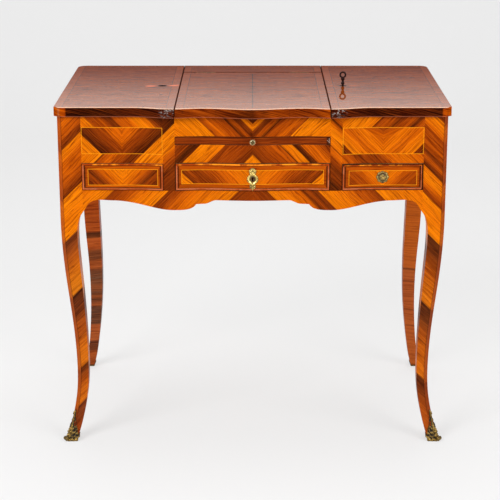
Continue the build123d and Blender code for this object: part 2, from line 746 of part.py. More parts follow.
with BuildPart() as key:
    key_low = carcass_top - lock_depth + lock_wall + running_gap
    key_top = top_height + key_rise
    ring_z = key_top - key_bow - key_wire
    with BuildSketch(Plane.XZ.offset(-keyhole_y)):
        with BuildLine():
            shank_x = keyhole_x + key_shank
            slim_x, round_x = keyhole_x + key_slim, keyhole_x + key_round
            collar, knop = (shank_x, top_height + key_collar), (slim_x, ring_z - key_bow)
            neck, waist = (round_x, top_height + key_neck), (slim_x, top_height + key_waist)
            bulge = (round_x, top_height + key_bulge)
            Polyline((keyhole_x, key_low), (shank_x, key_low), collar)
            Spline(collar, neck, waist, bulge, knop)
            Polyline(knop, (keyhole_x, ring_z - key_bow), (keyhole_x, key_low))
        make_face()
    revolve(axis=Axis((keyhole_x, keyhole_y, 0), (0, 0, 1)))
    bit_x = keyhole_x - key_bit_width / 2, keyhole_x + key_bit_width / 2
    slab(bit_x, (keyhole_y - key_shank - key_bit, keyhole_y), (key_low, key_low + bolt_height))
    with Locations(Location((keyhole_x, keyhole_y, ring_z), (90, 0, 0))):
        Torus(key_bow, key_wire)
save(key, "key")

# ---------------------------------------------------------------- writing slide
slide_x = opening_x - running_gap * 2
slide_z = (slide_low + running_gap, frieze_low - running_gap)
with BuildPart() as slide:
    front_board((-slide_x, slide_x), slide_z)
    slab((-slide_x, slide_x), (front_inner_face, front + slide_depth), slide_z)
save(slide, "writing_slide")

slide_middle = (slide_z[0] + slide_z[1]) / 2
with BuildPart() as slide_knob:
    with BuildSketch(Plane.XY.offset(slide_middle)):
        with BuildLine():
            ball = field_front - knob_reach + knob_radius
            foot_rim = (knob_foot, field_front - knob_foot_edge)
            meet = (knob_neck, ball + (knob_radius**2 - knob_neck**2) ** 0.5)
            Polyline((0, field_front), (knob_foot, field_front), foot_rim)
            Polyline(foot_rim, (knob_neck, field_front - knob_foot_depth), meet)
            ThreePointArc(meet, (knob_radius, ball), (0, ball - knob_radius))
            Line((0, ball - knob_radius), (0, field_front))
        make_face()
    revolve(axis=Axis((0, 0, slide_middle), (0, 1, 0)))
save(slide_knob, "slide_knob")


# ---------------------------------------------------------------- drawers
def drawer(name, x, z, depth):
    """Sides, back and bottom of a drawer whose front spans x and z."""
    y_front, y_back = front_inner_face, front + depth
    low = z[0]
    high = low + drawer_side_height
    with BuildPart() as sides:
        for edge, inward in ((x[0], 1), (x[1], -1)):
            slab((edge, edge + inward * drawer_board), (y_front, y_back), (low, high))
    save(sides, f"{name}_sides")

    inner = (x[0] + drawer_board, x[1] - drawer_board)
    with BuildPart() as drawer_back:
        slab(inner, (y_back - drawer_board, y_back), (low, high))
    save(drawer_back, f"{name}_back")

    with BuildPart() as bottom:
        slab(inner, (y_front, y_back - drawer_board), (low, low + drawer_bottom_thickness))
    save(bottom, f"{name}_bottom")


centre_x = (-opening_x + drawer_gap, opening_x - drawer_gap)
centre_z = (drawer_low + drawer_gap, centre_drawer_top - drawer_gap)
with BuildPart() as centre_drawer_front:
    drawer_face(centre_x, centre_z)
    lock_x = (-drawer_lock_width / 2, drawer_lock_width / 2)
    lock_z = (centre_z[1] - drawer_lock_height, centre_z[1])
    slab(lock_x, (lock_face, front_inner_face), lock_z, Mode.SUBTRACT)
    with BuildSketch(Plane.XZ.offset(-lock_face)):
        with Locations((0, drawer_key_eye)):
            Circle(keyhole_radius)
        with Locations((0, drawer_keyhole_z + keyhole_length / 2)):
            Rectangle(keyhole_slot, keyhole_length)
    extrude(amount=far, mode=Mode.SUBTRACT)
save(centre_drawer_front, "centre_drawer_front")
drawer("centre_drawer", centre_x, centre_z, centre_drawer_depth)

with BuildPart() as drawer_lock_case:
    slab(lock_x, (lock_face, front_inner_face), lock_z)
    slab(
        (-drawer_bolt_width / 2 - running_gap, drawer_bolt_width / 2 + running_gap),
        (drawer_bolt_y[0] - running_gap, drawer_bolt_y[1] + running_gap),
        (lock_z[0] + drawer_lock_plate, lock_z[1]),
        Mode.SUBTRACT,
    )
    with BuildSketch(Plane.XZ.offset(-lock_face)):
        with Locations((0, drawer_key_eye)):
            Circle(keyhole_radius)
    extrude(amount=-drawer_lock_plate, mode=Mode.SUBTRACT)
save(drawer_lock_case, "drawer_lock_case")

with BuildPart() as drawer_lock_bolt:
    bolt_x = (-drawer_bolt_width / 2, drawer_bolt_width / 2)
    slab(bolt_x, drawer_bolt_y, (lock_z[1] - drawer_bolt_length, lock_z[1]))
save(drawer_lock_bolt, "drawer_lock_bolt")

with BuildPart() as escutcheon:
    with BuildSketch(Plane.XZ.offset(-field_front)):
        with BuildLine():
            upper = (escutcheon_crown, escutcheon_neck, escutcheon_wing)
            Spline((0, escutcheon_top), *upper, escutcheon_waist, escutcheon_tail, (0, escutcheon_low))
            Line((0, escutcheon_low), (0, escutcheon_top))
        make_face()
        mirror(about=Plane.YZ)
        with Locations((0, drawer_key_eye)):
            Circle(keyhole_radius, mode=Mode.SUBTRACT)
        with Locations((0, drawer_keyhole_z + keyhole_length / 2)):
            Rectangle(keyhole_slot, keyhole_length, mode=Mode.SUBTRACT)
    extrude(amount=escutcheon_plate)
    add(centre_drawer_front.part, mode=Mode.SUBTRACT)
save(escutcheon, "escutcheon")

right_x = (divider_outer + drawer_gap, post_x - drawer_gap)
right_z = (drawer_low + drawer_gap, side_drawer_top - drawer_gap)
with BuildPart() as right_drawer_front:
    drawer_face(right_x, right_z)
save(right_drawer_front, "right_drawer_front")
drawer("right_drawer", right_x, right_z, right_drawer_depth)

with BuildPart() as right_drawer_pull:
    pull_z = (right_z[0] + right_z[1]) / 2
    with BuildSketch(Plane.XY.offset(pull_z)):
        with BuildLine():
            seat = front + rosette_seat
            rim = (bay_middle + rosette_radius, seat)
            lip = (bay_middle + rosette_radius, front - rosette_rim)
            dome = (bay_middle + rosette_dome, front - rosette_plate)
            neck = (bay_middle + rosette_neck, front - rosette_plate - rosette_throat)
            ball = front - rosette_reach + rosette_ball
            throat = (bay_middle + rosette_neck, ball + (rosette_ball**2 - rosette_neck**2) ** 0.5)
            Polyline((bay_middle, seat), rim, lip, dome, neck, throat)
            ThreePointArc(throat, (bay_middle + rosette_ball, ball), (bay_middle, ball - rosette_ball))
            Line((bay_middle, ball - rosette_ball), (bay_middle, seat))
        make_face()
    revolve(axis=Axis((bay_middle, 0, pull_z), (0, 1, 0)))
    add(right_drawer_front.part, mode=Mode.SUBTRACT)
save(right_drawer_pull, "right_drawer_pull")
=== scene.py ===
import math
from functools import partialmethod

import bmesh
import bpy
import numpy as np
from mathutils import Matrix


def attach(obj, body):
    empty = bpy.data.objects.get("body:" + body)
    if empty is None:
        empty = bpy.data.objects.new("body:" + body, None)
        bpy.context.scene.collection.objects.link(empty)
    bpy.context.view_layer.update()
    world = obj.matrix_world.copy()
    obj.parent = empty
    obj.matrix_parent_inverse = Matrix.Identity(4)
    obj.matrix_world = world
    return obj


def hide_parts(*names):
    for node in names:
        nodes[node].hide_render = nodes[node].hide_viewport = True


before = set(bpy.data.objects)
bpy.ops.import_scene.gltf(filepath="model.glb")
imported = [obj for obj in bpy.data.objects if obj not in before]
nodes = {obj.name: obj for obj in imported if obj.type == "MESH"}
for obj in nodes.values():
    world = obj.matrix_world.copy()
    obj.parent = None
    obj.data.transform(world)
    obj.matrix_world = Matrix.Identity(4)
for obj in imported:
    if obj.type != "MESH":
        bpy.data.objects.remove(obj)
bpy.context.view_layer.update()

# Poudreuse dressing table. The meshes are in metres; every size below is in millimetres unless it says metres.
MM = 0.001
HALF_WIDTH = 394.0  # carcass, middle to side
FRONT, BACK = -229.0, 237.0  # carcass, without the swell of the front
MIDDLE = (FRONT + BACK) / 2
BOW_FRONT = -238.9  # the front where it swells most, at x = 0
POST_CANT = 7.5  # canted outer corner of a leg
TOP = 723.0
TOP_FRONT, TOP_BACK = -235.0, 257.0
TOP_BORDER = 17.0  # cross banding round a lid
SEAM = 156.0  # joint between the mirror lid and a side lid
BAY_MIDDLE = 263.75  # middle of a side bay of the front
KEYHOLE_X = 193.5
EYE_Z, KNOB_Z, PULL_Z = 577.6, 655.25, 578.6  # centre drawer's keyhole, slide's knob, right drawer's rosette
TILT = math.radians(16.497)  # camera, below the level
CORNERS = {"front_left": (-1, -1), "front_right": (1, -1), "back_left": (-1, 1), "back_right": (1, 1)}


# ---- surfaces
def new_object(name, points, quads, material):
    """A smooth object in the scene from points in metres and the corners of its quads."""
    mesh = bpy.data.meshes.new(name)
    mesh.from_pydata(points, [], quads)
    mesh.polygons.foreach_set("use_smooth", np.ones(len(quads), bool))
    mesh.materials.append(material)
    made = bpy.data.objects.new(name, mesh)
    bpy.context.scene.collection.objects.link(made)
    return made


def surface(name, rows, body, material, replaces=(), tone=None):
    """A closed skin from a grid of points rows[v, u] in mm.

    Neighbouring rows and columns are joined by quads, and the last column to the first. Points that fall together
    at a pole are merged. A skin that turned out inside out is flipped by the sign of its volume, the sum of
    p0 . (p1 x p2) / 6 over its triangles. tone is a value per point, kept as the attribute "tone"."""
    points = np.asarray(rows, float).reshape(-1, 3) * MM
    index = np.arange(len(points)).reshape(rows.shape[:2])
    right = np.roll(index, -1, axis=1)
    quads = np.stack([index[:-1], right[:-1], right[1:], index[1:]], axis=-1).reshape(-1, 4)
    a, b, c, d = (points[quads[:, k]] for k in range(4))
    if (a * np.cross(b, c)).sum() + (a * np.cross(c, d)).sum() < 0:
        quads = quads[:, ::-1]
    piece = new_object(name, points, quads, material)
    if tone is not None:
        layer = piece.data.attributes.new("tone", "FLOAT", "POINT")
        layer.data.foreach_set("value", np.asarray(tone, np.float32).ravel())
    work = bmesh.new()
    work.from_mesh(piece.data)
    bmesh.ops.remove_doubles(work, verts=work.verts, dist=1e-7)
    bmesh.ops.dissolve_degenerate(work, edges=work.edges, dist=1e-7)
    work.to_mesh(piece.data)
    work.free()
    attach(piece, body)
    if replaces:
        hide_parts(*replaces)


def angles(count):
    """Evenly spaced angles round a circle."""
    return np.linspace(0, 2 * np.pi, count + 1)[:-1]


def hump(x, middle, width):
    """A bell exp(-((x - middle) / width)^2)."""
    return np.exp(-(((x - middle) / width) ** 2))


def step(x, low, high):
    """0 below low, 1 above high, and 3t^2 - 2t^3 between them."""
    t = np.clip((x - low) / (high - low), 0, 1)
    return t * t * (3 - 2 * t)


# ---- shader shorthand
def srgb(colour):
    """Screen colour 0..255 to the linear values that a socket takes, with a full alpha."""
    c = np.asarray(colour, float) / 255
    c = np.where(c <= 0.04045, c / 12.92, ((c + 0.055) / 1.055) ** 2.4)
    return (*c, 1.0)


class Value:
    """A value in a node tree. Sums, products, comparisons and abs() of values lay math nodes."""

    def __init__(self, owner, socket):
        self.owner, self.socket = owner, socket

    def math(self, operation, other=None):
        return self.owner.math(operation, self, other)

    def __rsub__(self, other):
        return self.owner.math("SUBTRACT", other, self)

    __add__ = __radd__ = partialmethod(math, "ADD")
    __mul__ = __rmul__ = partialmethod(math, "MULTIPLY")
    __sub__ = partialmethod(math, "SUBTRACT")
    __truediv__ = partialmethod(math, "DIVIDE")
    __gt__ = partialmethod(math, "GREATER_THAN")
    __lt__ = partialmethod(math, "LESS_THAN")
    __abs__ = partialmethod(math, "ABSOLUTE")


class Tree:
    """Lays shader nodes in one node tree. An argument is a Value, a socket, a number or a screen colour."""

    def __init__(self, tree):
        self.tree = tree

    def put(self, socket, value):
        """Links or sets a socket. A colour of three parts is a screen colour 0..255."""
        if isinstance(value, Value):
            value = value.socket
        if isinstance(value, bpy.types.NodeSocket):
            self.tree.links.new(value, socket)
        elif isinstance(value, tuple) and len(value) == 3 and socket.type == "RGBA":
            socket.default_value = srgb(value)
        elif value is not None:
            socket.default_value = value

    def node(self, kind, given=(), **settings):
        """A node with its settings, and the given values in its inputs, in order. None leaves an input as it is."""
        made = self.tree.nodes.new(kind)
        for key, value in settings.items():
            setattr(made, key, value)
        for socket, value in zip(made.inputs, given):
            self.put(socket, value)
        return made

    def math(self, operation, a, b=None, c=None, clamp=False):
        return Value(self, self.node("ShaderNodeMath", (a, b, c), operation=operation, use_clamp=clamp).outputs[0])

    def larger(self, a, b):
        return self.math("MAXIMUM", a, b)

    def smaller(self, a, b):
        return self.math("MINIMUM", a, b)

    def vector(self, x, y, z):
        return Value(self, self.node("ShaderNodeCombineXYZ", (x, y, z)).outputs[0])

    def split(self, vector):
        return [Value(self, part) for part in self.node("ShaderNodeSeparateXYZ", [vector]).outputs]

    def noise(self, vector, scale=1.0, detail=2.0, rough=0.5, warp=0.0):
        given = (vector, None, scale, detail, rough, None, None, None, warp)
        return Value(self, self.node("ShaderNodeTexNoise", given).outputs["Fac"])

    def range(self, value, low, high, to_low=0.0, to_high=1.0, smooth=True):
        """to_low below low, to_high above high, and an even or smooth step between them."""
        kind = "SMOOTHSTEP" if smooth else "LINEAR"
        given = (value, low, high, to_low, to_high)
        return Value(self, self.node("ShaderNodeMapRange", given, interpolation_type=kind).outputs[0])

    def fade(self, value, low, high, most=1.0):
        """most below low and 0 above high."""
        return self.range(value, low, high, most, 0.0)

    def mix(self, factor, a, b, blend="MIX"):
        given = (factor, *[None] * 5, a, b)
        return Value(self, self.node("ShaderNodeMix", given, data_type="RGBA", blend_type=blend).outputs[2])

    def times(self, colour, tint):
        return self.mix(1.0, colour, tint, "MULTIPLY")

    def polynomial(self, x, terms):
        """The sum of the terms times falling powers of x."""
        value = terms[0]
        for term in terms[1:]:
            value = self.math("MULTIPLY_ADD", x, value, term)
        return value

    def choose(self, mask, a, b):
        """The number a where mask is 0 and b where it is 1."""
        return self.split(self.mix(mask, a, b))[0]

    def ramp(self, value, stops):
        """Colours by place: stops gives the screen colour at each place in mm, in rising order."""
        low, high = min(stops), max(stops)
        made = self.node("ShaderNodeValToRGB")
        places = made.color_ramp.elements
        for k, (place, colour) in enumerate(stops.items()):
            at = (place - low) / (high - low)
            element = places[k] if k < 2 else places.new(at)
            element.position = at
            element.color = srgb(colour)
        self.put(made.inputs[0], self.range(value, low, high, smooth=False))
        return Value(self, made.outputs[0])

    def group(self, name, *given):
        """The values that a node group puts out, by name."""
        made = self.node("ShaderNodeGroup", given, node_tree=bpy.data.node_groups[name])
        return {socket.name: Value(self, socket) for socket in made.outputs}

    def figure(self, across, along, sheet):
        return self.group("wood figure", across, along, sheet)

    def band(self, value, low, high, soft=0.25):
        """1 where value lies between low and high."""
        return self.range(value, low - soft, low + soft) * self.fade(value, high - soft, high + soft)

    def inside(self, rect):
        """Signed square distance to a rectangle (x0, x1, z0, z1) of the front: negative inside."""
        x0, x1, z0, z1 = rect
        across = abs(self.x - (x0 + x1) / 2) - (x1 - x0) / 2
        up = abs(self.z - (z0 + z1) / 2) - (z1 - z0) / 2
        return self.larger(across, up), across, up

    def line(self, distance, half, soft=0.2):
        """1 within half of a zero distance."""
        return self.fade(abs(distance), half, half + soft)


def new_group(name, inputs, outputs, kind="NodeSocketFloat"):
    """The Tree of a new node group, its given values, all of one kind, and its output sockets, which are numbers."""
    tree = bpy.data.node_groups.new(name, "ShaderNodeTree")
    for label in inputs:
        tree.interface.new_socket(label, in_out="INPUT", socket_type=kind)
    for label in outputs:
        tree.interface.new_socket(label, in_out="OUTPUT", socket_type="NodeSocketFloat")
    made = Tree(tree)
    given = [Value(made, socket) for socket in tree.nodes.new("NodeGroupInput").outputs[: len(inputs)]]
    return made, given, tree.nodes.new("NodeGroupOutput").inputs


def build_figure_group():
    """Figure of a sheet of rosewood.

    Across and Along are distances in mm over and along the grain, Sheet is any number that tells sheets apart.
    Wander is how far the stripes stray in mm, Stripe and Streak are broad and fine lines from 0 to 1, Ink is a set
    of thin dark lines where a slow noise passes its middle value, Pores are short dark dashes."""
    t, (across, along, sheet), out = new_group(
        "wood figure", ("Across", "Along", "Sheet"), ("Wander", "Stripe", "Streak", "Ink", "Pores")
    )
    slow = t.noise(t.vector(across * 0.018, along * 0.008, sheet), detail=2.0)
    wander = (slow - 0.5) * 16.0
    strayed = across + wander
    stripe = t.noise(t.vector(strayed * 0.16, along * 0.006, sheet), detail=3.0, rough=0.6)
    streak = t.noise(t.vector(strayed * 0.75, along * 0.012, sheet), detail=3.0, rough=0.65)
    pores = t.noise(t.vector(strayed * 2.6, along * 0.09, sheet), detail=1.0)
    t.put(out["Wander"], wander)
    t.put(out["Stripe"], t.range(stripe, 0.36, 0.64))
    t.put(out["Streak"], t.range(streak, 0.32, 0.68))
    broad = t.noise(t.vector(strayed * 0.1, along * 0.003, sheet + 3.0), detail=2.0, rough=0.5)
    close = t.noise(t.vector(strayed * 0.3, along * 0.004, sheet + 8.0), detail=1.0)
    broad = t.fade(abs(broad - 0.5), 0.004, 0.022)
    close = t.fade(abs(close - 0.5), 0.008, 0.05, 0.75)
    t.put(out["Ink"], t.larger(broad, close))
    t.put(out["Pores"], t.range(pores, 0.60, 0.72))


def build_age_group():
    """Wear of an old polished surface: soft cloudy patches, small dings and hair scratches from 0 to 1."""
    t, (place,), out = new_group("old polish", ("Place",), ("Cloud", "Dings", "Hairs"), "NodeSocketVector")
    t.put(out["Cloud"], t.range(t.noise(place, 0.011, 4.0, 0.55), 0.35, 0.66))
    t.put(out["Dings"], t.range(t.noise(place, 0.16, 2.0, 0.5), 0.70, 0.78))
    axis, angle = (0.35, 0.2, 0.9), 0.6
    turned = t.node("ShaderNodeVectorRotate", (place, None, axis, angle), rotation_type="AXIS_ANGLE")
    x, y, z = t.split(turned.outputs[0])
    hairs = t.noise(t.vector(x * 0.9, y * 0.018, z * 0.9), 1.0, 2.0, 0.6, 0.3)
    t.put(out["Hairs"], t.range(hairs, 0.72, 0.76))


build_figure_group()
build_age_group()


class Finish(Tree):
    """A material with one Principled shader and the object's own place in mm at hand."""

    def __init__(self, name):
        self.material = bpy.data.materials.new(name)
        self.material.use_nodes = True
        super().__init__(self.material.node_tree)
        self.tree.nodes.clear()
        self.shader = self.node("ShaderNodeBsdfPrincipled")
        self.node("ShaderNodeOutputMaterial", self.shader.outputs[:1])
        coordinates = self.node("ShaderNodeTexCoord")
        given = (coordinates.outputs["Object"], None, None, 1 / MM)
        scaled = self.node("ShaderNodeVectorMath", given, operation="SCALE")
        self.place = Value(self, scaled.outputs[0])
        self.x, self.y, self.z = self.split(self.place)
        self.nx, self.ny, self.nz = self.split(coordinates.outputs["Normal"])

    def set(self, **values):
        for key, value in values.items():
            self.put(self.shader.inputs[key.replace("_", " ")], value)

    def bump(self, height, strength, distance=0.0004):
        made = self.node("ShaderNodeBump")
        made.inputs["Strength"].default_value = strength
        made.inputs["Distance"].default_value = distance
        self.put(made.inputs["Height"], height)
        self.set(Normal=made.outputs[0])

    def diagonal(self, centre, rise):
        """Distances across and along a 45 degree grain that mirrors at x = centre, in front view.

        rise=-1 is z - |x - centre| (a V of stripes), rise=1 is z + |x - centre| (a peak)."""
        away = abs(self.x - centre)
        return self.z + away * rise, self.z - away * rise

    def polish(self, colour, rough=0.34, coat=0.02, gloss=0.10, shine=0.05, relief=0.3):
        """French polish over the wood: clear coat, worn in patches, with pores and dings under it."""
        cloud, dings, hairs = self.group("old polish", self.place).values()
        colour = self.mix(self.pores * 0.3, colour, (44, 18, 6))
        colour = self.mix(dings * 0.4, colour, (56, 24, 10))
        self.set(Base_Color=colour, Roughness=self.range(cloud, 0, 1, rough - 0.05, rough + 0.1) + hairs * 0.1)
        if not isinstance(coat, Value):
            coat = self.range(cloud, 0, 1, coat * 1.25, coat * 0.75)
        self.set(Coat_Weight=coat, Coat_Roughness=gloss)
        self.set(Specular_IOR_Level=shine, Specular_Tint=(1.0, 0.55, 0.14, 1.0))
        height = self.fine * 0.12 - (self.pores * 0.4 + dings * 0.6)
        self.bump(height - hairs * 0.2, relief)
        return self.material


# colours of the woods, as a polished surface shows them
GOLD, ORANGE, AMBER, TAWNY = (240, 132, 4), (230, 118, 4), (212, 100, 4), (186, 82, 5)
BROWN, UMBER, DARK, BLACK = (156, 64, 6), (130, 51, 6), (100, 37, 5), (56, 18, 4)
# the bead's pale colour on the next line and its bright top colour on the line after are painted highlights
STRING, BEAD, BEAD_HIGHLIGHT = (236, 150, 22), (160, 70, 30), (204, 124, 84)
BEAD_TOP_HIGHLIGHT, BEAD_RED = (244, 140, 30), (150, 56, 14)
# painted shadow: the width in mm of the near black band round a drawer front's bead, standing for shade in its open
# joint
GAP_SHADOW = 1.3  # open joint round a drawer front
BARE = ((150, 74, 40), (112, 50, 26))  # unpolished underside of a veneered leaf


# Broad colours across the grain. The place is z - |x - middle| (V), z + |x - middle| (peak), z + x or z - x, in mm.
STILE_LEFT = {
    860: ORANGE, 900: GOLD, 916: GOLD, 917.5: DARK, 926: UMBER, 948: TAWNY, 968: AMBER, 990: AMBER, 1018: GOLD,
    1020: DARK, 1030: UMBER, 1046: TAWNY, 1072: AMBER, 1098: TAWNY,
}
STILE_RIGHT = {
    860: ORANGE, 893: GOLD, 896: UMBER, 906: BROWN, 916: AMBER, 932: GOLD, 951: ORANGE, 953: BLACK, 963: UMBER,
    972: TAWNY, 979: UMBER, 986: DARK, 990: BROWN, 1006: TAWNY, 1034: BROWN, 1040: AMBER, 1072: GOLD, 1076: UMBER,
    1098: DARK,
}
LEG_LEFT = {
    330: (150, 68, 26), 400: (146, 66, 26), 425: (122, 58, 32), 443: (92, 44, 28), 445: (214, 116, 24),
    470: (206, 106, 22), 492: (172, 80, 20), 508: (112, 50, 18), 520: (70, 30, 14), 522: (220, 122, 24),
    560: (208, 110, 22), 589: (194, 98, 22), 591: (100, 46, 16), 593: (184, 90, 24), 620: (168, 80, 24),
    648: (108, 50, 24), 680: (88, 42, 24), 694: (76, 36, 20), 696: (230, 136, 26), 740: (216, 118, 20),
    778: (184, 90, 22), 800: (140, 66, 24), 825: (94, 46, 26), 827: GOLD, 880: ORANGE,
}
LEG_RIGHT = {
    330: (172, 84, 26), 400: (176, 84, 26), 440: (164, 76, 24), 470: (110, 50, 22), 493: (62, 28, 16),
    495: (212, 114, 22), 530: (204, 104, 20), 573: (196, 98, 20), 575: (92, 42, 16), 577: (190, 94, 22),
    600: (160, 76, 22), 625: (96, 46, 22), 650: (76, 36, 20), 662: (66, 30, 16), 664: (222, 124, 22),
    700: (212, 112, 18), 740: (184, 88, 18), 765: (150, 70, 18), 785: (106, 48, 18), 818: (74, 34, 14), 820: GOLD,
    880: ORANGE,
}
BACK_LEG_LEFT = {
    0: (166, 82, 40), 41: (168, 84, 40), 46: (92, 50, 34), 67: (104, 56, 38), 70: (174, 92, 50), 108: (174, 92, 50),
    113: (96, 62, 46), 155: (100, 64, 48), 160: (158, 84, 46), 172: (108, 66, 46), 180: (148, 78, 42),
    190: (100, 62, 44), 203: (138, 76, 44), 222: (112, 74, 54), 241: (104, 66, 48), 251: (158, 80, 40),
    265: (164, 84, 42), 274: (118, 66, 40), 293: (112, 62, 38), 296: (168, 80, 36), 322: (174, 84, 38),
    325: (94, 50, 28), 336: (90, 46, 26), 339: (166, 76, 30), 395: (158, 68, 24), 480: TAWNY,
}
BACK_LEG_RIGHT = {
    0: (176, 88, 36), 105.5: (172, 86, 40), 107.5: (100, 50, 28), 109.5: (174, 88, 40), 145: (168, 84, 40),
    147: (126, 62, 32), 149: (168, 84, 40), 215: (164, 82, 40), 217.5: (118, 58, 32), 220: (168, 84, 42),
    245: (176, 90, 42), 248: (88, 46, 28), 252: (184, 92, 36), 330: (192, 96, 32), 395: (188, 92, 30), 480: TAWNY,
}
FIELD_LEFT = {
    540: ORANGE, 560: GOLD, 583.5: GOLD, 585: BLACK, 600: DARK, 616: UMBER, 634: BROWN, 650: AMBER, 682: AMBER,
}
FIELD_RIGHT = {
    540: BLACK, 554: DARK, 566: UMBER, 568: GOLD, 590: ORANGE, 606: AMBER, 632: ORANGE, 652: AMBER, 664: TAWNY,
    682: BROWN,
}
VEE_RIGHT = {655: ORANGE, 662: AMBER, 668: TAWNY, 674: BROWN, 678: BROWN, 682: UMBER}
OVER_LEFT = {
    350: ORANGE, 363: GOLD, 364.5: BROWN, 392: TAWNY, 400: UMBER, 414: DARK, 420: TAWNY, 450: AMBER, 458: GOLD,
    484: ORANGE, 490: UMBER, 500: DARK, 530: BLACK,
}
UNDER_LEFT = {
    760: ORANGE, 846: GOLD, 848: GOLD, 849.5: UMBER, 862: DARK, 874: UMBER, 884: TAWNY, 892: BROWN, 900: AMBER,
    924: TAWNY, 929: BLACK, 931: GOLD, 980: ORANGE,
}
OVER_RIGHT = {
    330: UMBER, 350: TAWNY, 358: DARK, 364: DARK, 374: TAWNY, 392: BROWN, 402: DARK, 414: TAWNY, 436: BROWN,
    441: DARK, 443: ORANGE, 480: GOLD, 530: AMBER,
}
UNDER_RIGHT = {
    780: AMBER, 815: TAWNY, 838: UMBER, 852: BROWN, 868: UMBER, 884: BROWN, 894: AMBER, 930: ORANGE, 960: AMBER,
    980: TAWNY,
}
DIVIDER_LEFT = {
    700: UMBER, 730: DARK, 748: UMBER, 764: DARK, 782: BROWN, 796: AMBER, 812: GOLD, 847: GOLD, 849: BLACK, 872: DARK,
}
DIVIDER_RIGHT = {
    700: DARK, 726: BLACK, 744: UMBER, 762: DARK, 778: BROWN, 792: AMBER, 801: AMBER, 803: DARK, 805: ORANGE,
    832: GOLD, 855: AMBER, 860: BLACK, 864: TAWNY, 886: ORANGE,
}
FRIEZE = {
    500: ORANGE, 560: GOLD, 587: GOLD, 589: BROWN, 604: AMBER, 622: TAWNY, 640: BROWN, 643: BLACK, 652: TAWNY,
    658: BROWN, 664: DARK, 675: UMBER, 677: GOLD, 688: ORANGE, 691: DARK, 705: BLACK,
}
RAIL_LEFT = {
    605: GOLD, 626: GOLD, 628: DARK, 642: UMBER, 662: BROWN, 684: BROWN, 700: UMBER, 702: ORANGE, 730: GOLD,
    750: GOLD, 752: DARK, 764: BLACK, 774: DARK, 777: BROWN, 786: UMBER, 804: BROWN,
}
RAIL_RIGHT = {
    605: GOLD, 626: GOLD, 628: DARK, 640: UMBER, 656: BROWN, 682: TAWNY, 698: TAWNY, 701: BLACK, 703.5: ORANGE,
    724: GOLD, 727: BLACK, 741: DARK, 743: AMBER, 770: AMBER, 786: BROWN, 804: DARK,
}
CENTRE_FIELD = {
    420: GOLD, 445: GOLD, 447: DARK, 462: BROWN, 478: UMBER, 496: BROWN, 512: TAWNY, 534: AMBER, 552: ORANGE,
    600: GOLD,
}
SIDE_FIELD = {
    470: BLACK, 496: DARK, 508: UMBER, 517: BROWN, 524: DARK, 538: BROWN, 550: AMBER, 562: ORANGE, 600: GOLD,
}
SIDE_FIELD_RIGHT = {
    470: DARK, 496: UMBER, 508: BROWN, 517: TAWNY, 524: BROWN, 538: TAWNY, 550: AMBER, 562: ORANGE, 600: GOLD,
}
APRON_LEFT = {
    525: BROWN, 579: UMBER, 581.5: GOLD, 640: ORANGE, 676: AMBER, 700: BROWN, 719: UMBER, 721: DARK, 723: GOLD,
    764: ORANGE, 792: TAWNY, 816: BROWN, 833: UMBER, 835: GOLD, 900: ORANGE,
}
APRON_RIGHT = {
    525: BROWN, 579: UMBER, 581.5: GOLD, 620: ORANGE, 644: AMBER, 652: DARK, 664: BROWN, 672: DARK, 683: UMBER,
    685: GOLD, 735: ORANGE, 762: TAWNY, 786: BROWN, 800: UMBER, 802: GOLD, 900: ORANGE,
}


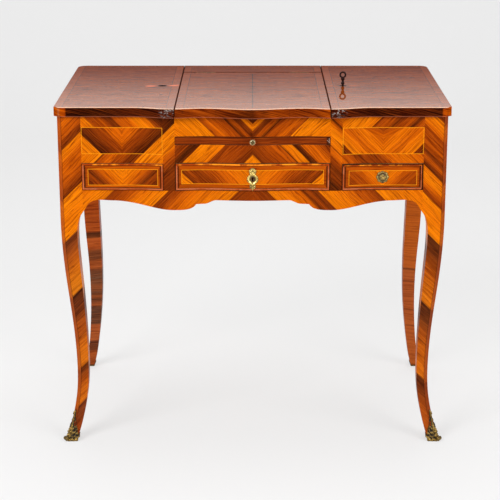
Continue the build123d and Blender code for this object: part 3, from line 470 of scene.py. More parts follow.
class Veneer(Finish):
    """A finish for a veneered piece: sheets of veneer on the outside, plain carcass wood on every other face."""

    def left(self):
        return self.fade(self.x, -0.3, 0.3)

    def keyhole_wear_and_shade(self, colour, x, worn):
        """Rubbed orange wings to both sides of a lid's keyhole, dark close to its rim, and the keyhole itself painted
        near black as painted shade.
        """
        dx, dy = self.x - x, self.y - 3.0
        wide = abs(dx)
        wing = wide * 0.32 - abs(dy - dx * 0.12)
        rough = self.noise(self.vector(self.x * 0.12, self.y * 0.12, 4.0), 1.0, 3.0, 0.6)
        wing = self.range(wing + (rough - 0.5) * 6.0, -0.6, 1.6)
        wing = wing * self.fade(wide, 26.0, 40.0)
        far = self.math("SQRT", dx * dx * 0.6 + dy * dy)
        colour = self.mix(wing * worn, colour, (214, 100, 54))
        colour = self.mix(self.fade(far, 6.0, 16.0, 0.55), colour, (70, 28, 12))
        # painted shade: the keyhole is a near black disc in the colour, and the coat is taken off it
        hole = 4.4 + 2.2 * worn
        self.keyhole_shade = self.fade(far, hole, hole + 2.0, 0.95)
        return self.mix(self.keyhole_shade, colour, (18, 8, 6))

    def bead_and_border(self, rect, colour, gap_shadow, ink):
        """Cock bead round a drawer: a reddish strip with painted highlights, pale patches and a bright orange line
        along its top, and painted shadow of the open joint round its outer edge, then a darker border band inside it.
        """
        distance, across, up = self.inside(rect)
        highlight_noise = self.noise(self.vector(self.x * 0.035, 0.0, self.z * 0.035), 1.0, 3.0, 0.6)
        # painted highlights: pale patches along the bead, and bright orange ones along its top over a redder colour
        top = self.range(self.z, rect[3] - 5.0, rect[3] - 4.4)
        lit = self.mix(top, BEAD_HIGHLIGHT, BEAD_TOP_HIGHLIGHT)
        highlight_patches = self.range(highlight_noise, 0.42, 0.6) * (top * 0.6 + 0.35)
        bead = self.mix(highlight_patches, self.mix(top, BEAD, BEAD_RED), lit)
        # painted shadow: a near black band round the bead's outer edge, the shade in the open joint, wider at the top
        # and right when the given width is larger
        wider_shadow = self.larger(top * (gap_shadow - GAP_SHADOW), self.range(self.x, rect[1] - 4.0, rect[1] - 3.6) * (gap_shadow - GAP_SHADOW))
        bead = self.mix(self.range(distance + wider_shadow, -GAP_SHADOW, 0.4 - GAP_SHADOW), bead, (44, 14, 6))
        ends = (across > up) * self.range(distance, -8.2, -7.4)
        colour = self.mix(ends * 0.7, colour, (70, 24, 6))
        colour = self.mix(self.range(distance, -4.4, -4.1), colour, bead)
        return self.mix(self.line(distance + 4.9, 0.8, 0.3) * ink, colour, (58, 16, 6))

    def close(self, outside, mask, inside=((186, 134, 84), (140, 92, 52))):
        """Joins the veneered outside, where mask is 1, to the carcass wood and finishes the material."""
        wood = self.mix(self.fine, inside[0], inside[1])
        return self.polish(self.mix(mask, wood, outside))


def faces_front(f):
    return f.fade(f.ny, -0.62, -0.5)


def shown_faces(f):
    """Every face of a leg below the apron; above it only those that look outwards, as the rest is inside the case."""
    outwards = f.larger(f.nx * f.math("SIGN", f.x), f.ny * f.math("SIGN", f.y))
    return f.larger(f.range(outwards, 0.2, 0.4), f.fade(f.z, 549.0, 550.0))


def laid(f, stops, across, along, number, right=None):
    """The colour of a sheet of veneer; with right given, its broad colours differ to the right of the middle."""
    figure = f.figure(across, along, number + f.left() * 7.0 if right else number)
    placed = across + figure["Wander"] * 0.12
    colour = f.ramp(placed, stops)
    if right:
        colour = f.mix(f.left(), f.ramp(placed, right), colour)
    return shade(f, colour, figure)


def shade(f, colour, figure, depth=1.0):
    """Darkens a broad colour by its stripes, fine streaks and ink lines; pale streaks run through dark wood."""
    glow = f.range(figure["Streak"], 0.62, 0.2)
    colour = f.mix(glow * (0.22 * depth), colour, (186, 88, 18))
    colour = f.mix(figure["Stripe"] * (0.55 * depth), colour, f.times(colour, (212, 190, 170)))
    colour = f.mix(figure["Streak"] * (0.5 * depth), colour, f.times(colour, (192, 162, 140)))
    colour = f.mix(figure["Ink"] * (0.7 * depth), colour, f.times(colour, (140, 100, 80)))
    f.pores, f.fine = figure["Pores"], figure["Streak"]
    return colour


def upper_front(side, middle, number, under, over, field):
    """Strung field of mirrored veneer over a strip below and above. The right field also has a flatter V."""
    f = Veneer(f"upper front veneer {side}")
    across, along = f.diagonal(middle, -1)
    to_middle, from_middle = f.z - f.x, f.z + f.x
    if side == "right":
        to_middle, from_middle = from_middle, to_middle
    under = laid(f, under, to_middle, from_middle, number + 2)
    over = laid(f, over, from_middle, to_middle, number + 4)
    field = laid(f, field, across, along, number)
    if side == "right":
        deep = f.z - abs(f.x - middle) * 0.48
        vee = shade(f, f.ramp(deep, VEE_RIGHT), f.figure(deep, along, number + 6))
        field = f.mix(f.range(deep, 656.0, 664.0), field, vee)
    colour = f.mix(f.range(f.z, 680.8, 681.2), f.mix(f.range(f.z, 626.8, 627.2), under, field), over)
    distance, _, _ = f.inside((middle - 81.4, middle + 81.4, 627.0, 681.0))
    colour = f.mix(f.line(distance, 0.36) * 0.85, colour, STRING)
    return f.close(colour, faces_front(f))


def drawer_veneer(name, rect, string, stops, number, middle=0.0, gap_shadow=GAP_SHADOW, ink=0.8):
    """Drawer front: cock bead, cross border, string and a mirrored field. The gap argument is the width in mm of the
    painted shadow in the joint at the top and right.
    """
    f = Veneer(name)
    across, along = f.diagonal(middle, -1)
    field = laid(f, stops, across, along, number)
    frame_wood = shade(f, TAWNY, f.figure(f.z, f.x, number + 5))
    distance, over, up = f.inside(string)
    ends = over > up
    frame_wood = f.mix(ends * 0.45, frame_wood, UMBER)
    colour = f.mix(f.range(distance, -0.1, 0.1), field, frame_wood)
    colour = f.mix(f.line(distance, 0.36) * 0.85, colour, STRING)
    colour = f.bead_and_border(rect, colour, gap_shadow, ink)
    return f.close(colour, faces_front(f))


def front_strip(name, rise, number, stops, right=None):
    """A strip of the front with a 45 degree grain that mirrors at the middle."""
    f = Veneer(name)
    across, along = f.diagonal(0.0, rise)
    return f.close(laid(f, stops, across, along, number, right), faces_front(f))


def slide_front():
    """Plain dark reddish front of the writing slide with level grain; its top is a plain leaf of lighter veneer."""
    f = Veneer("slide veneer")
    # the stops from 661.4 mm up to the top edge are painted near black: painted shadow along the top of the slide
    # front
    stops = {
        646.8: (64, 38, 28), 647.8: (92, 50, 34), 649: UMBER, 653: BROWN, 654.5: DARK, 656: BROWN, 660: (150, 66, 16),
        661.4: DARK, 662.2: BLACK, 663.7: (22, 10, 6),
    }
    figure = f.figure(f.z, f.x, 23.0)
    colour = f.mix(0.2, shade(f, f.ramp(f.z, stops), figure, 1.3), (104, 40, 16))
    colour = f.mix(f.range(f.x, 148.0, 150.0) * 0.8, colour, (40, 18, 10))
    scuff = f.larger(f.band(f.x, 153.6, 155.0), f.line(f.x + f.z - 806.5, 0.5, 0.4) * f.range(f.x, 149.5, 150.0))
    scuff = scuff * f.band(f.z, 650.5, 660.5) * 0.75
    colour = f.mix(scuff, colour, (158, 134, 120))
    return f.close(colour, faces_front(f), BARE)


# inner edge of a front leg's canted corner, from the middle: terms of the falling powers of z / 100
EDGE_LINE = (-0.00886, 0.12773, -0.58077, -0.88951, 15.96202, -37.94945, 3.89492 + HALF_WIDTH - POST_CANT)


def leg_veneer(corner, stile, leg, number, strip=(158, 68, 12)):
    """Slanting sheets up the leg, a lighter strip on the canted corner and a dark line beside it, at EDGE_LINE."""
    f = Veneer(f"leg veneer {corner}")
    wide = abs(f.x)
    end_face = abs(f.nx) > abs(f.ny)
    depth = abs(f.y - MIDDLE) + (HALF_WIDTH + FRONT - MIDDLE)
    reach = f.choose(end_face, wide, depth)
    across, along = f.z + reach, f.z - reach
    low, high = f.ramp(across, leg), f.ramp(across, stile)
    figure = f.figure(across, along, number)
    colour = shade(f, f.mix(f.range(across, 869, 871), low, high), figure)
    level = f.smaller(f.z * 0.01, 4.95)
    line = f.polynomial(level, EDGE_LINE)
    beside = abs(line - reach - 0.6)
    flat = f.larger(abs(f.nx), abs(f.ny))
    sideways = f.math("SQRT", 1.0 - f.nz * f.nz)
    cant = f.fade(flat / sideways, 0.86, 0.92)
    colour = f.mix(cant * 0.65, colour, strip)
    colour = f.mix(f.fade(beside, 0.4, 0.8, 0.65) * (1.0 - cant), colour, BLACK)
    return f.close(colour, shown_faces(f))


def back_leg_veneer(corner, stops, number, depth):
    """Level sheets one above the other, darker and redder than the front ones."""
    f = Veneer(f"leg veneer {corner}")
    across = f.z + (abs(f.x) + f.y - 612.0) * 0.1
    figure = f.figure(across, f.x, number)
    return f.close(shade(f, f.ramp(across + figure["Wander"] * 0.4, stops), figure, depth), shown_faces(f))


def side_panel():
    """Mirrored 45 degree veneer about the middle of the depth."""
    f = Veneer("side veneer")
    away = abs(f.y - MIDDLE)
    across, along = f.z - away, f.z + away
    stops = {
        300: GOLD, 350: ORANGE, 392: TAWNY, 410: DARK, 412: GOLD, 470: AMBER, 520: BROWN, 540: UMBER, 542: GOLD,
        590: AMBER, 622: BROWN, 640: DARK, 642: GOLD, 670: AMBER, 705: BROWN,
    }
    outside = f.range(abs(f.x), HALF_WIDTH - 1.0, HALF_WIDTH - 0.5)
    return f.close(laid(f, stops, across, along, 31.0), outside)


def carcass_wood(name, light, dark, along="x"):
    """Plain solid wood, unpolished: level grain with growth lines, darker with age in patches."""
    f = Veneer(name)
    run, over = (f.x, f.y) if along == "x" else (f.y, f.x)
    _, stripe, streak, _, pores = f.figure(over + f.z * 0.7, run, 41.0).values()
    cloud, dings, _ = f.group("old polish", f.place).values()
    colour = f.mix(stripe * 0.55, light, dark)
    colour = f.mix(streak * 0.3, colour, dark)
    colour = f.mix(cloud * 0.35, colour, f.times(colour, (170, 140, 116)))
    colour = f.mix((pores + dings) * 0.4, colour, (64, 38, 22))
    f.set(Base_Color=colour, Roughness=f.range(streak, 0, 1, 0.55, 0.67))
    f.bump(streak * 0.3 - pores * 0.6, 0.4)
    return f.material


# front edge of the top by x, its upper face by y, the wood's fading with painted light paler at the front and painted
# shade darker at the back, and its swell by falling powers of (x / 100)^2
FRONT_EDGE = {
    -402: AMBER, -391: ORANGE, -388.5: (226, 166, 110), -387: ORANGE, -376.5: AMBER, -375.5: BLACK, -330: (28, 10, 4),
    -290: (58, 23, 8), -240: (76, 31, 11), -200: (64, 25, 10), -160: (92, 36, 11), -155: (122, 48, 6),
    -110: (146, 60, 5), -60: (122, 48, 6), -30: (104, 40, 5), 0: (82, 30, 5), 12: (128, 50, 6), 22: (106, 40, 5),
    40: (156, 66, 5), 110: (130, 52, 6), 154: (180, 82, 5), 158: (60, 22, 8), 200: (76, 29, 10), 260: (48, 18, 7),
    320: (78, 30, 10), 381: (52, 20, 7), 382: AMBER, 402: ORANGE,
}
FADED_WITH_PAINTED_LIGHT = {-257: (184, 104, 46), -180: (172, 94, 38), -40: (146, 72, 22), 120: (130, 56, 10), 257: (112, 44, 6)}
SWELL = (-0.03888, 0.56128, -2.32423, -0.5574, 20.79207, -32.76875, 21.05288)


def top_veneer(name, x0, x1, back, number, side=0, joint=None):
    """A lid: polished field with level wavy grain, a cross-banded border, and the sawn edge bands.

    side is -1 for the left lid, 1 for the right lid and 0 for what lies between them, and joint is the x of a joint
    between two mirrored sheets. The distances to the lid's own edges give the border. The front edge swells by the
    polynomial SWELL in (x / 100)^2, and the polish is thinner towards the back. The field's colour is the wood's
    fading, painted paler towards the front as light and darker towards the back as shade. Pale painted highlights
    run along the front edge of the top and along the lower edge of the edge band."""
    f = Veneer(name)
    aside = abs(f.x)
    square = f.x * f.x * 0.0001
    swell = f.larger(f.polynomial(square, SWELL), 0.0) * f.fade(aside, 239.0, 240.0)
    to_front = f.y + swell - TOP_FRONT
    to_back = back - f.y
    left, right = f.x - x0, x1 - f.x
    to_side = f.smaller(left, right)
    edge = f.smaller(to_side, f.smaller(to_front, to_back))
    folded = aside if joint is not None else f.x
    swirl = f.noise(f.vector(folded * 0.012, f.y * 0.018, number), 1.0, 3.0, 0.55, 0.8)
    grain = f.y + (swirl - 0.5) * 60.0
    figure = f.figure(grain, folded, number)
    ripple = f.noise(f.vector(folded * 0.035, f.y * 0.16, number), 1.0, 2.0, 0.5, 1.6)
    # painted light and shade: the wood's fading by y, painted paler towards the front as light and darker towards the
    # back as shade
    faded_and_lit = f.ramp(f.y, FADED_WITH_PAINTED_LIGHT)
    field = shade(f, faded_and_lit, figure, 1.0)
    field = f.mix(f.range(ripple, 0.45, 0.7) * 0.4, field, f.times(faded_and_lit, (140, 110, 96)))
    side_border = to_side < f.smaller(to_front, to_back)
    cross = f.choose(side_border, f.x, f.y)
    border = shade(f, f.mix(0.15, faded_and_lit, (196, 104, 58)), f.figure(cross, edge, number + 3), 0.9)
    inner = f.range(edge, TOP_BORDER - 0.2, TOP_BORDER + 0.2)
    colour = f.mix(inner, border, field)
    lines = f.line(edge - TOP_BORDER, 0.6, 0.4) * 0.55
    if joint is not None:
        lines = f.larger(lines, f.line(f.x - joint, 0.6, 0.4) * inner)
    colour = f.mix(lines, colour, (48, 18, 8))
    if side:
        colour = f.keyhole_wear_and_shade(colour, side * KEYHOLE_X, 0.85 if side < 0 else 0.12)
    seam = (to_side, left, right)[side]
    dirt = f.fade(seam, 0.4, 1.8, 0.9)
    if joint is not None:
        dirt = f.larger(dirt, f.fade(to_back, 2.5, 6.0, 0.9))
    colour = f.mix(dirt, colour, (20, 8, 5))
    # painted highlight: a pale line along the front edge of the top, kept off the dark joints
    painted_arris_highlight = f.fade(to_front, 3.5, 7.5) * (1.0 - dirt)
    colour = f.mix(painted_arris_highlight * 0.7, colour, (238, 192, 158))
    upper = f.range(f.z, TOP - 0.75, TOP - 0.5)
    lower = f.mix(figure["Streak"], *BARE)
    band = f.fade(abs(f.nz), 0.5, 0.9)
    rail = shade(f, f.ramp(f.x, FRONT_EDGE), f.figure(f.z + f.x * 0.25, f.x, number + 7), 1.4)
    side_rail = shade(f, UMBER, f.figure(f.z, f.y, number + 9), 1.4)
    rail = f.mix(f.range(aside, SEAM, SEAM + 2.0), rail, f.times(rail, (224, 206, 210)))
    rail = f.mix(f.range(f.ny, -0.4, -0.3), rail, side_rail)
    # painted highlight: a pale line along the lower edge of the edge band
    rail = f.mix(f.fade(f.z, 705.0, 705.6) * 0.4, rail, (170, 100, 76))
    if side:
        corner = seam * 0.6 + f.larger(to_front, 0.0)
        patch = f.noise(f.vector(f.x * 0.13, (f.y + f.z) * 0.2, number), 1.0, 3.0, 0.6, 1.0)
        chip = f.fade(corner, 10.0, 22.0) * f.range(patch, 0.46, 0.54)
        # the chips are real damage; their pale grey patches, stronger higher up the band, are painted highlights on
        # the broken surface
        pale = f.range(patch, 0.54, 0.66) * f.range(f.z, 711.0, 717.0, 0.25, 1.0)
        grey = f.mix(pale, (74, 52, 46), (206, 198, 192))
        rail, colour = f.mix(chip * 0.75, rail, grey), f.mix(chip * 0.5, colour, grey)
        rail = f.mix(f.fade(seam, 0.8, 2.0, 0.85), rail, (16, 8, 6))
    colour = f.mix(upper, f.mix(band, lower, rail), colour)
    f.pores, f.fine = figure["Pores"], figure["Streak"]
    sheen = f.math("POWER", f.range(f.y, TOP_BACK, TOP_FRONT, smooth=False), 1.45)
    sheen = f.range(sheen, 0.0, 1.0, 0.14, 0.93, smooth=False) * f.range(figure["Streak"], 0, 1, 1.12, 0.86)
    sheen = sheen * (1.0 - (f.larger(dirt, f.keyhole_shade) if side else dirt))
    coat = upper * f.range(f.nz, 0.9, 0.95) * sheen + 0.02
    return f.polish(colour, 0.34, coat, 0.02, 0.0, 0.06)


def paint(material, names):
    for name in names.split():
        mesh = nodes[name].data
        if not mesh.materials:
            mesh.materials.append(material)
        for k in range(len(mesh.materials)):
            nodes[name].material_slots[k].material = material


paint(upper_front("left", -BAY_MIDDLE, 11.0, UNDER_LEFT, OVER_LEFT, FIELD_LEFT), "upper_front_left")
paint(upper_front("right", BAY_MIDDLE, 17.0, UNDER_RIGHT, OVER_RIGHT, FIELD_RIGHT), "upper_front_right")
paint(front_strip("divider veneer left", 1, 3.0, DIVIDER_LEFT), "divider_stile_left")
paint(front_strip("divider veneer right", 1, 5.0, DIVIDER_RIGHT), "divider_stile_right")
paint(front_strip("frieze veneer", -1, 7.0, FRIEZE, FRIEZE), "frieze_rail")
paint(front_strip("centre rail veneer", 1, 9.0, RAIL_LEFT, RAIL_RIGHT), "centre_rail")
paint(front_strip("apron veneer", 1, 13.0, APRON_LEFT, APRON_RIGHT), "front_apron")

# edges x0, x1, z0, z1 of each drawer front and of the string round its field
edges, string = (-156.2, 156.2, 552.3, 608.7), (-143.7, 143.7, 565.5, 594.5)
paint(drawer_veneer("centre drawer veneer", edges, string, CENTRE_FIELD, 15.0, ink=0.45), "centre_drawer_front")
edges, string = (-346.5, -181.0, 551.5, 607.5), (-334, -192.5, 561.8, 595)
paint(drawer_veneer("false drawer veneer", edges, string, SIDE_FIELD, 19.0, -BAY_MIDDLE), "false_drawer_front")
edges, string = (181.8, 345.7, 552.3, 606.7), (195.5, 333.3, 562, 592)
right_drawer = drawer_veneer("right drawer veneer", edges, string, SIDE_FIELD_RIGHT, 21.0, BAY_MIDDLE, 2.5)
paint(right_drawer, "right_drawer_front")

paint(slide_front(), "writing_slide")
paint(leg_veneer("front left", STILE_LEFT, LEG_LEFT, 25.0), "leg_front_left")
paint(leg_veneer("front right", STILE_RIGHT, LEG_RIGHT, 27.0, (140, 56, 12)), "leg_front_right")
paint(back_leg_veneer("back left", BACK_LEG_LEFT, 29.0, 0.8), "leg_back_left")
paint(back_leg_veneer("back right", BACK_LEG_RIGHT, 33.0, 0.55), "leg_back_right")
paint(side_panel(), "side_panel_left side_panel_right")
paint(top_veneer("left lid veneer", -400.0, -SEAM - 0.5, TOP_BACK, 51.0, side=-1), "lid_left")
paint(top_veneer("right lid veneer", SEAM + 0.5, 400.0, TOP_BACK, 57.0, side=1), "lid_right")
paint(top_veneer("mirror lid veneer", 0.5 - SEAM, SEAM - 0.5, 168.7, 63.0, joint=0.0), "mirror_lid")
paint(top_veneer("rear strip veneer", 0.5 - SEAM, SEAM - 0.5, TOP_BACK, 69.0), "rear_top_rail")
oak_across = carcass_wood("carcass oak across", (188, 138, 88), (140, 94, 54))
oak_deep = carcass_wood("carcass oak front to back", (184, 134, 84), (134, 90, 52), "y")
walnut = carcass_wood("mirror frame walnut", (120, 70, 38), (78, 42, 22))


def metal(name, colour, dark, rough, metallic=1.0, shine=0.5):
    """Old metal: bright where it is handled, darker and duller in the hollows that the tone attribute marks."""
    f = Finish(name)
    cloud = f.noise(f.place, 0.12, 4.0, 0.6)
    grit = f.noise(f.place, 1.1, 3.0, 0.6)
    tone = f.node("ShaderNodeAttribute", attribute_name="tone")
    dirt = f.math("ADD", f.range(cloud, 0.42, 0.7) * 0.5, tone.outputs["Fac"], clamp=True)
    f.set(Base_Color=f.mix(dirt, colour, dark), Metallic=f.range(dirt, 0, 1, metallic, metallic * 0.6))
    f.set(Roughness=f.range(dirt, 0, 1, rough, rough + 0.25) + (grit - 0.5) * 0.2)
    f.set(Specular_IOR_Level=shine)
    f.bump(grit + cloud * 0.6, 0.25, 0.0003)
    return f.material


brass = metal("aged brass", (204, 178, 102), (78, 58, 32), 0.26)
bright_brass = metal("handled brass", (240, 226, 176), (92, 74, 36), 0.16)
tarnished = metal("tarnished brass", (128, 100, 56), (52, 38, 22), 0.4)
bronze = metal("gilt bronze", (142, 114, 60), (26, 18, 10), 0.34)
steel = metal("lock steel", (150, 148, 142), (74, 66, 56), 0.38)
iron = metal("key iron", (34, 11, 8), (14, 5, 4), 0.5, 0.0, 0.12)


def mirror_silver():
    """Old silvered glass: a clean mirror with grey foxing in specks."""
    f = Finish("old mirror")
    fox = f.range(f.noise(f.place, 0.09, 5.0, 0.7), 0.62, 0.72)
    f.set(Base_Color=f.mix(fox, (226, 230, 228), (120, 116, 108)), Metallic=1.0)
    f.set(Roughness=f.range(fox, 0, 1, 0.02, 0.4))
    return f.material


old_glass = mirror_silver()
paint(oak_across, "back_panel well_floor_left well_floor_right mirror_well_floor centre_drawer_back")
paint(oak_across, "centre_drawer_bottom right_drawer_back right_drawer_bottom")
paint(oak_deep, "partition_left partition_right mirror_lid_ledges slide_runners centre_drawer_runners")
paint(oak_deep, "right_drawer_runners centre_drawer_sides right_drawer_sides")
paint(walnut, "mirror_frame")
paint(old_glass, "mirror_glass")
paint(tarnished, "hinge_leaves_fixed hinge_leaves_lid_left hinge_leaves_lid_right hinge_leaves_mirror_lid")
paint(tarnished, "hinge_pins strike_plates")
paint(brass, "escutcheon right_drawer_pull")
paint(bright_brass, "slide_knob")
paint(bronze, " ".join(f"sabot_{corner}" for corner in CORNERS))
paint(steel, "lock_case_left lock_case_right drawer_lock_case lock_bolt_left lock_bolt_right drawer_lock_bolt")
paint(iron, "key")


# ---- sabots
def cubic(z, a, b, c, d):
    return a + b * z + c * z**2 + d * z**3


def foot_section(z, x_line, y_line, grow, turn):
    """Points round the square foot at height z: turn runs 0..4, one unit a side, starting at the inner end of the
    front face, over the outer corner at turn 1, with grow mm added all round. The outer corner is canted."""
    x_out, x_in = cubic(z, *x_line[0]) + grow, cubic(z, *x_line[1]) - grow
    y_out, y_in = cubic(z, *y_line[0]) + grow, cubic(z, *y_line[1]) - grow
    side, t = np.floor(turn).astype(int) % 4, turn % 1.0
    x = np.choose(side, [x_in + (x_out - x_in) * t, x_out, x_out + (x_in - x_out) * t, x_in])
    y = np.choose(side, [y_out, y_out + (y_in - y_out) * t, y_in, y_in + (y_out - y_in) * t])
    cut = POST_CANT - np.maximum((x_out - x) + (y_out - y), 0)
    cut = np.maximum(cut, 0) / 2
    return x - cut, y - cut


# outer and inner face of a foot as cubics in z, from the face of the carcass: front foot, then back foot by x
SWING = (3.94, -0.4048, 0.002743, -1.217e-5)
HEEL = (-18.56, -0.4029, 0.002612, -1.244e-5)
BACK_SWING = (11.47, -0.41089, 0.0033488, -1.3263e-5)
BACK_HEEL = (-11.09, -0.39574, 0.0042307, -2.5365e-5)


def lifted(line, face):
    return (line[0] + face, *line[1:])


def sabot(corner, side, end):
    """Cast foot: a shell round the leg, open leafwork on the outer corner.

    The top edge rises from the ring to a point at the corner, h(t) = ring + (tip - ring) (1 - |t|)^1.25 with
    scallops, t being the way from the corner along a face. The thickness is a wall plus a corner rib, veins that
    climb outwards from it, a foot bead and an oval boss; where it falls below zero the wood shows through."""
    x_line = (SWING, HEEL) if end < 0 else (BACK_SWING, BACK_HEEL)
    x_line = tuple(lifted(line, HALF_WIDTH) for line in x_line)
    y_line = tuple(lifted(line, -FRONT if end < 0 else BACK) for line in (SWING, HEEL))
    turn = np.concatenate([np.linspace(0, 2, 97)[:-1], np.linspace(2, 4, 33)[:-1]])
    t = np.minimum(np.abs(turn - 1), 1.0)
    scallop = 0.5 + 0.5 * np.abs(np.sin(t * 11.0 + 0.6))
    ring, tip = 10.0 if end < 0 else 4.0, 64.0
    height = ring + (tip - ring) * (1 - t) ** 1.25 * (0.86 + 0.14 * scallop)
    height = height + 3.5 * scallop * (t < 1) * (1 - t) ** 0.3
    v = np.linspace(0, 1, 72)[:, None]
    z = height * v
    climb = z / 66.0
    away = t * 22.0
    rib = 1.9 * hump(away, 1.4 * np.sin(climb * 8), 2.2)
    veins = np.sin(z * 0.52 - away * 0.75 + 0.8 * np.sin(away * 0.7)) * step(away, 1.5, 4.0)
    curls = np.sin(z * 0.9 + away * 1.1 + 1.4 * np.sin(z * 0.21)) * np.sin(away * 0.9 - z * 0.13 + 0.6)
    open_work = 2.4 * hump(away, 7.0, 2.6) * hump(z, 37.0, 6.0) + 2.2 * hump(away, 4.6, 2.0) * hump(z, 50.0, 5.0)
    boss = 2.6 * hump(away, 4.0, 2.4) * hump(z, 21.0, 5.0)
    foot = 1.2 * hump(z, 3.0, 2.4) + 0.7 * hump(z, 9.5, 1.6)
    edge = 1.2 * hump(v, 0.95, 0.06)
    thick = 1.15 + rib + 0.65 * veins + 0.75 * curls - open_work + boss + foot + edge
    thick = thick * step(1.0 - v, 0.0, 0.05) - 0.5 * step(v, 0.93, 1.0)
    calm = step(np.abs(turn - 3), 0.0, 1.2)
    thick = 1.2 + (thick - 1.2) * (0.25 + 0.75 * calm)
    thick = np.maximum(thick, -0.8)
    outer = foot_rows(z, x_line, y_line, thick, turn)
    inner_z = np.linspace(1, 0, 12)[:, None] * (height - 2) + 2
    inner = foot_rows(inner_z, x_line, y_line, np.full(inner_z.shape, -1.2), turn)
    centre = outer[:1].mean(axis=1, keepdims=True)
    low = np.broadcast_to(centre, outer[:1].shape).copy()
    high = low.copy()
    high[..., 2] = 2.0
    rows = np.concatenate([low, outer, inner, high])
    tone = [np.zeros(low.shape[:2]), step(2.3 - thick, 0.0, 1.7), np.ones(inner.shape[:2]), np.ones(low.shape[:2])]
    tone = np.concatenate(tone)
    rows[..., 0] *= side
    rows[..., 1] *= end
    surface(f"sabot_{corner}_cast", rows, "carcass", bronze, [f"sabot_{corner}"], tone)


def foot_rows(z, x_line, y_line, thick, turn):
    x, y = foot_section(z, x_line, y_line, thick, np.broadcast_to(turn, z.shape))
    return np.stack([x, y, z], axis=-1)


def toe(corner, side, end):
    """The scrolled toe: a short roll lying across the corner, r = 4.5 (1 - |w|^5)^(1/5), with a groove near each
    end and six shallow flutes along it."""
    w = np.linspace(-1, 1, 25)[:, None]
    angle = angles(36)
    radius = 4.5 * (1 - np.abs(w) ** 5) ** 0.2 * (1 - 0.10 * hump(np.abs(w), 0.55, 0.12))
    radius = radius * (1 + 0.05 * np.sin(angle * 6))
    run = radius * np.cos(angle)
    rise = radius * np.sin(angle)
    reach_x = HALF_WIDTH + (4.2 if end < 0 else 10.0)
    reach_y = (-FRONT if end < 0 else BACK) + 4.0
    out = run - 1.5
    across = w * 5.5 + 0 * angle
    x = reach_x + (out + across) / math.sqrt(2)
    y = reach_y + (out - across) / math.sqrt(2)
    z = 6.4 + rise + 0 * w
    rows = np.stack([x * side, y * end, np.maximum(z, 0.4)], axis=-1)
    tone = np.broadcast_to(hump(np.abs(w), 0.55, 0.14), radius.shape)
    surface(f"sabot_{corner}_toe", rows, "carcass", bronze, (), tone)


for corner_name, signs in CORNERS.items():
    sabot(corner_name, *signs)
    toe(corner_name, *signs)


# ---- escutcheon and rosette
PLATE = [
    (0, 22.2), (9, 21.4), (17, 19.8), (23, 18.8), (27, 17.0), (30, 12.4), (34, 10.2), (45, 10.0), (60, 10.4),
    (78, 11.2), (95, 11.4), (115, 11.9), (135, 11.8), (146, 11.4), (152, 12.0), (157, 15.0), (162, 18.4),
    (168, 21.4), (174, 23.4), (180, 25.2),
]


def escutcheon():
    """Cast plate round the keyhole: rings run from the keyhole's outline out to the plate's own outline.

    The outline is r(a) about the eye, read from PLATE by angle from the top: a crown of two curls over a narrow
    neck, an oval body, a leaf tail. The relief is a rolled rim, a raised oval round a sunk field, curls in the
    crown and a rib down the tail."""
    a = angles(240)
    up = np.cos(a)
    slot = step(-up, 0.80, 0.93)
    x_key = 2.5 * np.sin(a) * (1 - slot) + np.clip(4.0 * np.sin(a), -1.5, 1.5) * slot
    z_key = 2.5 * up * (1 - slot) - 7.0 * slot
    turned = np.degrees(np.abs(np.arctan2(np.sin(a), up)))
    outline = np.interp(turned, *zip(*PLATE)) + 0.35 * np.cos(a * 18)
    r = np.linspace(0, 1, 34)[:, None]
    x = x_key * (1 - r) + outline * np.sin(a) * r
    z = z_key * (1 - r) + outline * up * r
    oval = np.hypot(x / 7.6, (z + 1.5) / 9.2)
    rim = 1.5 * hump(oval, 1.12, 0.22) * step(16.0 - np.abs(z), 0, 4)
    curls = 1.6 * (hump(np.hypot(np.abs(x) - 4.6, z - 15.8), 1.6, 1.3) + hump(np.hypot(x, z - 19.6), 0.8, 1.2))
    neck = 1.2 * hump(np.hypot(x, z - 11.6), 0.0, 2.2)
    tail = (1.5 * hump(x, 0, 1.3) + 0.7 * np.cos(z * 1.5 + np.abs(x) * 1.6)) * step(-z, 11.5, 13.5)
    chased = 0.35 * np.cos(a * 18) * hump(oval, 1.25, 0.25)
    high = 0.8 + rim + curls + neck + tail + chased - 0.5 * step(0.9 - oval, 0.0, 0.25)
    high = high * (1 - step(r, 0.95, 1.0) * 0.6)
    y_front = BOW_FRONT - np.maximum(high, 0.25)
    front_rows = np.stack([x, y_front, z + EYE_Z], axis=-1)
    back_rows = front_rows[::-1].copy()
    back_rows[..., 1] = BOW_FRONT + 0.3
    rows = np.concatenate([front_rows, back_rows, front_rows[:1]])
    tone = 0.85 * step(1.25 - high, 0.0, 0.9)
    tone = np.concatenate([tone, np.ones_like(tone), tone[:1]])
    surface("escutcheon_cast", rows, "centre_drawer", brass, ["escutcheon"], tone)


def revolved(middle, radius, depth, a):
    """Points at a radius from an axis along y and at a depth before the point middle on it."""
    x, y, z = middle
    return np.stack(np.broadcast_arrays(x + radius * np.cos(a), y - depth, z + radius * np.sin(a)), axis=-1)


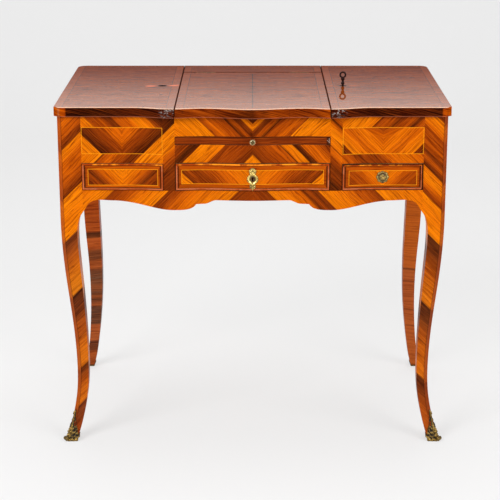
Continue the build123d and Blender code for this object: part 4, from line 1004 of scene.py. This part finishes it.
def knob():
    """Turned ball on a short neck and foot, its front hollowed to a dish with a small point, revolved about y."""
    a = angles(48)
    turn = np.linspace(-1.22, 0.98, 26)
    ball_r, ball_d = 7.2 * np.cos(turn), 10.2 + 7.2 * np.sin(turn)
    radius = np.concatenate([[0.001, 4.6, 4.6, 3.2, 2.5], ball_r, [3.4, 2.6, 1.6, 0.9, 0.4, 0.001]])
    depth = np.concatenate([[-0.5, -0.5, 1.6, 2.3, 2.8], ball_d, [15.6, 15.0, 14.8, 15.1, 15.5, 15.6]])
    rows = revolved((0.0, BOW_FRONT, KNOB_Z), radius[:, None], depth[:, None], a)
    dish = (depth > 13.5) & (radius < 4.2)
    tone = np.where(dish, 0.95, np.clip((4.0 - depth) / 4, 0, 0.8))
    tone = np.broadcast_to(tone[:, None], rows.shape[:2])
    surface("slide_knob_turned", rows, "slide", bright_brass, ["slide_knob"], tone)


def rosette():
    """Turned and chased pull: h(r) is a cupped plate with eight petals, |cos 4a| shaping both rim and relief, then a
    narrow neck and a ball on top. The skin closes behind, 0.6 mm into the drawer's front."""
    a = angles(144)[None, :]
    petal = np.abs(np.cos(4 * a))
    r = 0.93 * np.array([13.6, 13.8, 13.4, 12.6, 11.6, 10.4, 9.2, 8.2, 7.2, 6.2, 5.2, 4.3, 3.4])[:, None]
    h = np.array([-0.6, 0.3, 1.1, 1.7, 2.1, 2.2, 2.0, 1.7, 1.7, 2.3, 2.9, 3.1, 3.1])[:, None]
    rim = step(r, 6.5, 13.0)
    radius = r * (1 - 0.10 * (1 - petal) * rim)
    high = h - 0.9 * (1 - petal) ** 2 * rim * (h > 0.2) + 0.35 * hump(petal, 1.0, 0.12) * hump(r, 10.2, 2.0)
    inner = 0.3 * np.sin(16 * a) * hump(r, 5.4, 0.9)
    high = high + inner
    turn = np.linspace(-1.15, math.pi / 2, 20)[:, None]
    ball_r, ball_h = 3.6 * np.cos(turn), 8.4 + 3.6 * np.sin(turn)
    neck_r = np.array([2.6, 2.1, 1.9, 1.9])[:, None]
    neck_h = np.array([3.4, 3.9, 4.5, 5.0])[:, None]
    spread = np.ones_like(a)
    radius = np.concatenate([0.001 * spread, radius, neck_r * spread, ball_r * spread])
    high = np.concatenate([-0.6 * spread, high, neck_h * spread, ball_h * spread])
    rows = revolved((BAY_MIDDLE, FRONT, PULL_Z), radius, high, a)
    spots = 0.5 + 0.5 * np.sin(7 * a + radius) * np.sin(3 * a - 1.7 * radius)
    tone = 0.28 + 0.32 * spots + 0.6 * step(1.8 - high, 0.0, 1.2) + 0.5 * hump(radius, 7.4, 1.2) * (high < 3)
    tone = np.where(high > 3.2, 0.25 + hump(high, 4.2, 0.8), tone)
    surface("rosette_pull_cast", rows, "right_drawer", brass, ["right_drawer_pull"], np.clip(tone, 0, 1))


escutcheon()
knob()
rosette()


# ---- floor, lights, camera
def floor_and_backdrop():
    """A pale sheet, in metres: flat floor that curves up behind into a wall."""
    across = np.linspace(-6, 6, 13)
    flat_end, bend, top = 2.6, 1.2, 6.0
    turn = np.linspace(0, np.pi / 2, 14)[1:]
    run = np.concatenate([np.linspace(-5, flat_end, 20), flat_end + bend * np.sin(turn), np.full(8, flat_end + bend)])
    rise = np.concatenate([np.zeros(20), bend - bend * np.cos(turn), np.linspace(bend, top, 9)[1:]])
    f = Finish("pale paper")
    f.set(Roughness=0.9, Specular_IOR_Level=0.05)
    seen = f.node("ShaderNodeLightPath").outputs
    seen = f.larger(seen["Is Camera Ray"], f.larger(seen["Is Glossy Ray"], seen["Is Transmission Ray"]))
    f.set(Base_Color=f.mix(seen, (232, 232, 232), (146, 146, 146)))
    f.set(Emission_Color=(240, 240, 240), Emission_Strength=seen * 0.645)
    points = np.stack(np.broadcast_arrays(across[None, :], run[:, None], rise[:, None]), axis=-1)
    index = np.arange(points.size // 3).reshape(points.shape[:2])
    quads = np.stack([index[:-1, :-1], index[:-1, 1:], index[1:, 1:], index[1:, :-1]], axis=-1).reshape(-1, 4)
    new_object("floor", points.reshape(-1, 3), quads, f.material)


def lamp(name, place, aim, size, power):
    """A soft round lamp at place, in metres, that faces aim."""
    data = bpy.data.lights.new(name, "AREA")
    data.shape, data.size, data.energy = "DISK", size, power
    light = bpy.data.objects.new(name, data)
    bpy.context.scene.collection.objects.link(light)
    x, y, z = np.asarray(aim, float) - np.asarray(place, float)
    light.location = place
    light.rotation_euler = (math.atan2(math.hypot(x, y), -z), 0, math.atan2(x, -y) + math.pi)


floor_and_backdrop()
lamp("key light", (-2.2, -2.6, 2.6), (0, 0, 0.45), 2.2, 112)
lamp("fill light", (2.6, -2.4, 2.0), (0, 0, 0.4), 2.4, 78)
lamp("top light", (0, 0.6, 3.4), (0, 0, 0.5), 2.4, 45)

world = bpy.data.worlds.new("studio")
bpy.context.scene.world = world
world.use_nodes = True
world.node_tree.nodes["Background"].inputs["Color"].default_value = (0.9, 0.9, 0.9, 1)
world.node_tree.nodes["Background"].inputs["Strength"].default_value = 0.45

camera_data = bpy.data.cameras.new("camera")
camera = bpy.data.objects.new("camera", camera_data)
bpy.context.scene.collection.objects.link(camera)
camera_data.lens, camera_data.sensor_width, camera_data.shift_x = 112.32, 36.0, -0.0052
camera.location = (0, -3.3083, 1.336)
camera.rotation_euler = (math.pi / 2 - TILT, 0, 0)
bpy.context.scene.camera = camera
bpy.context.scene.view_settings.view_transform = "Standard"
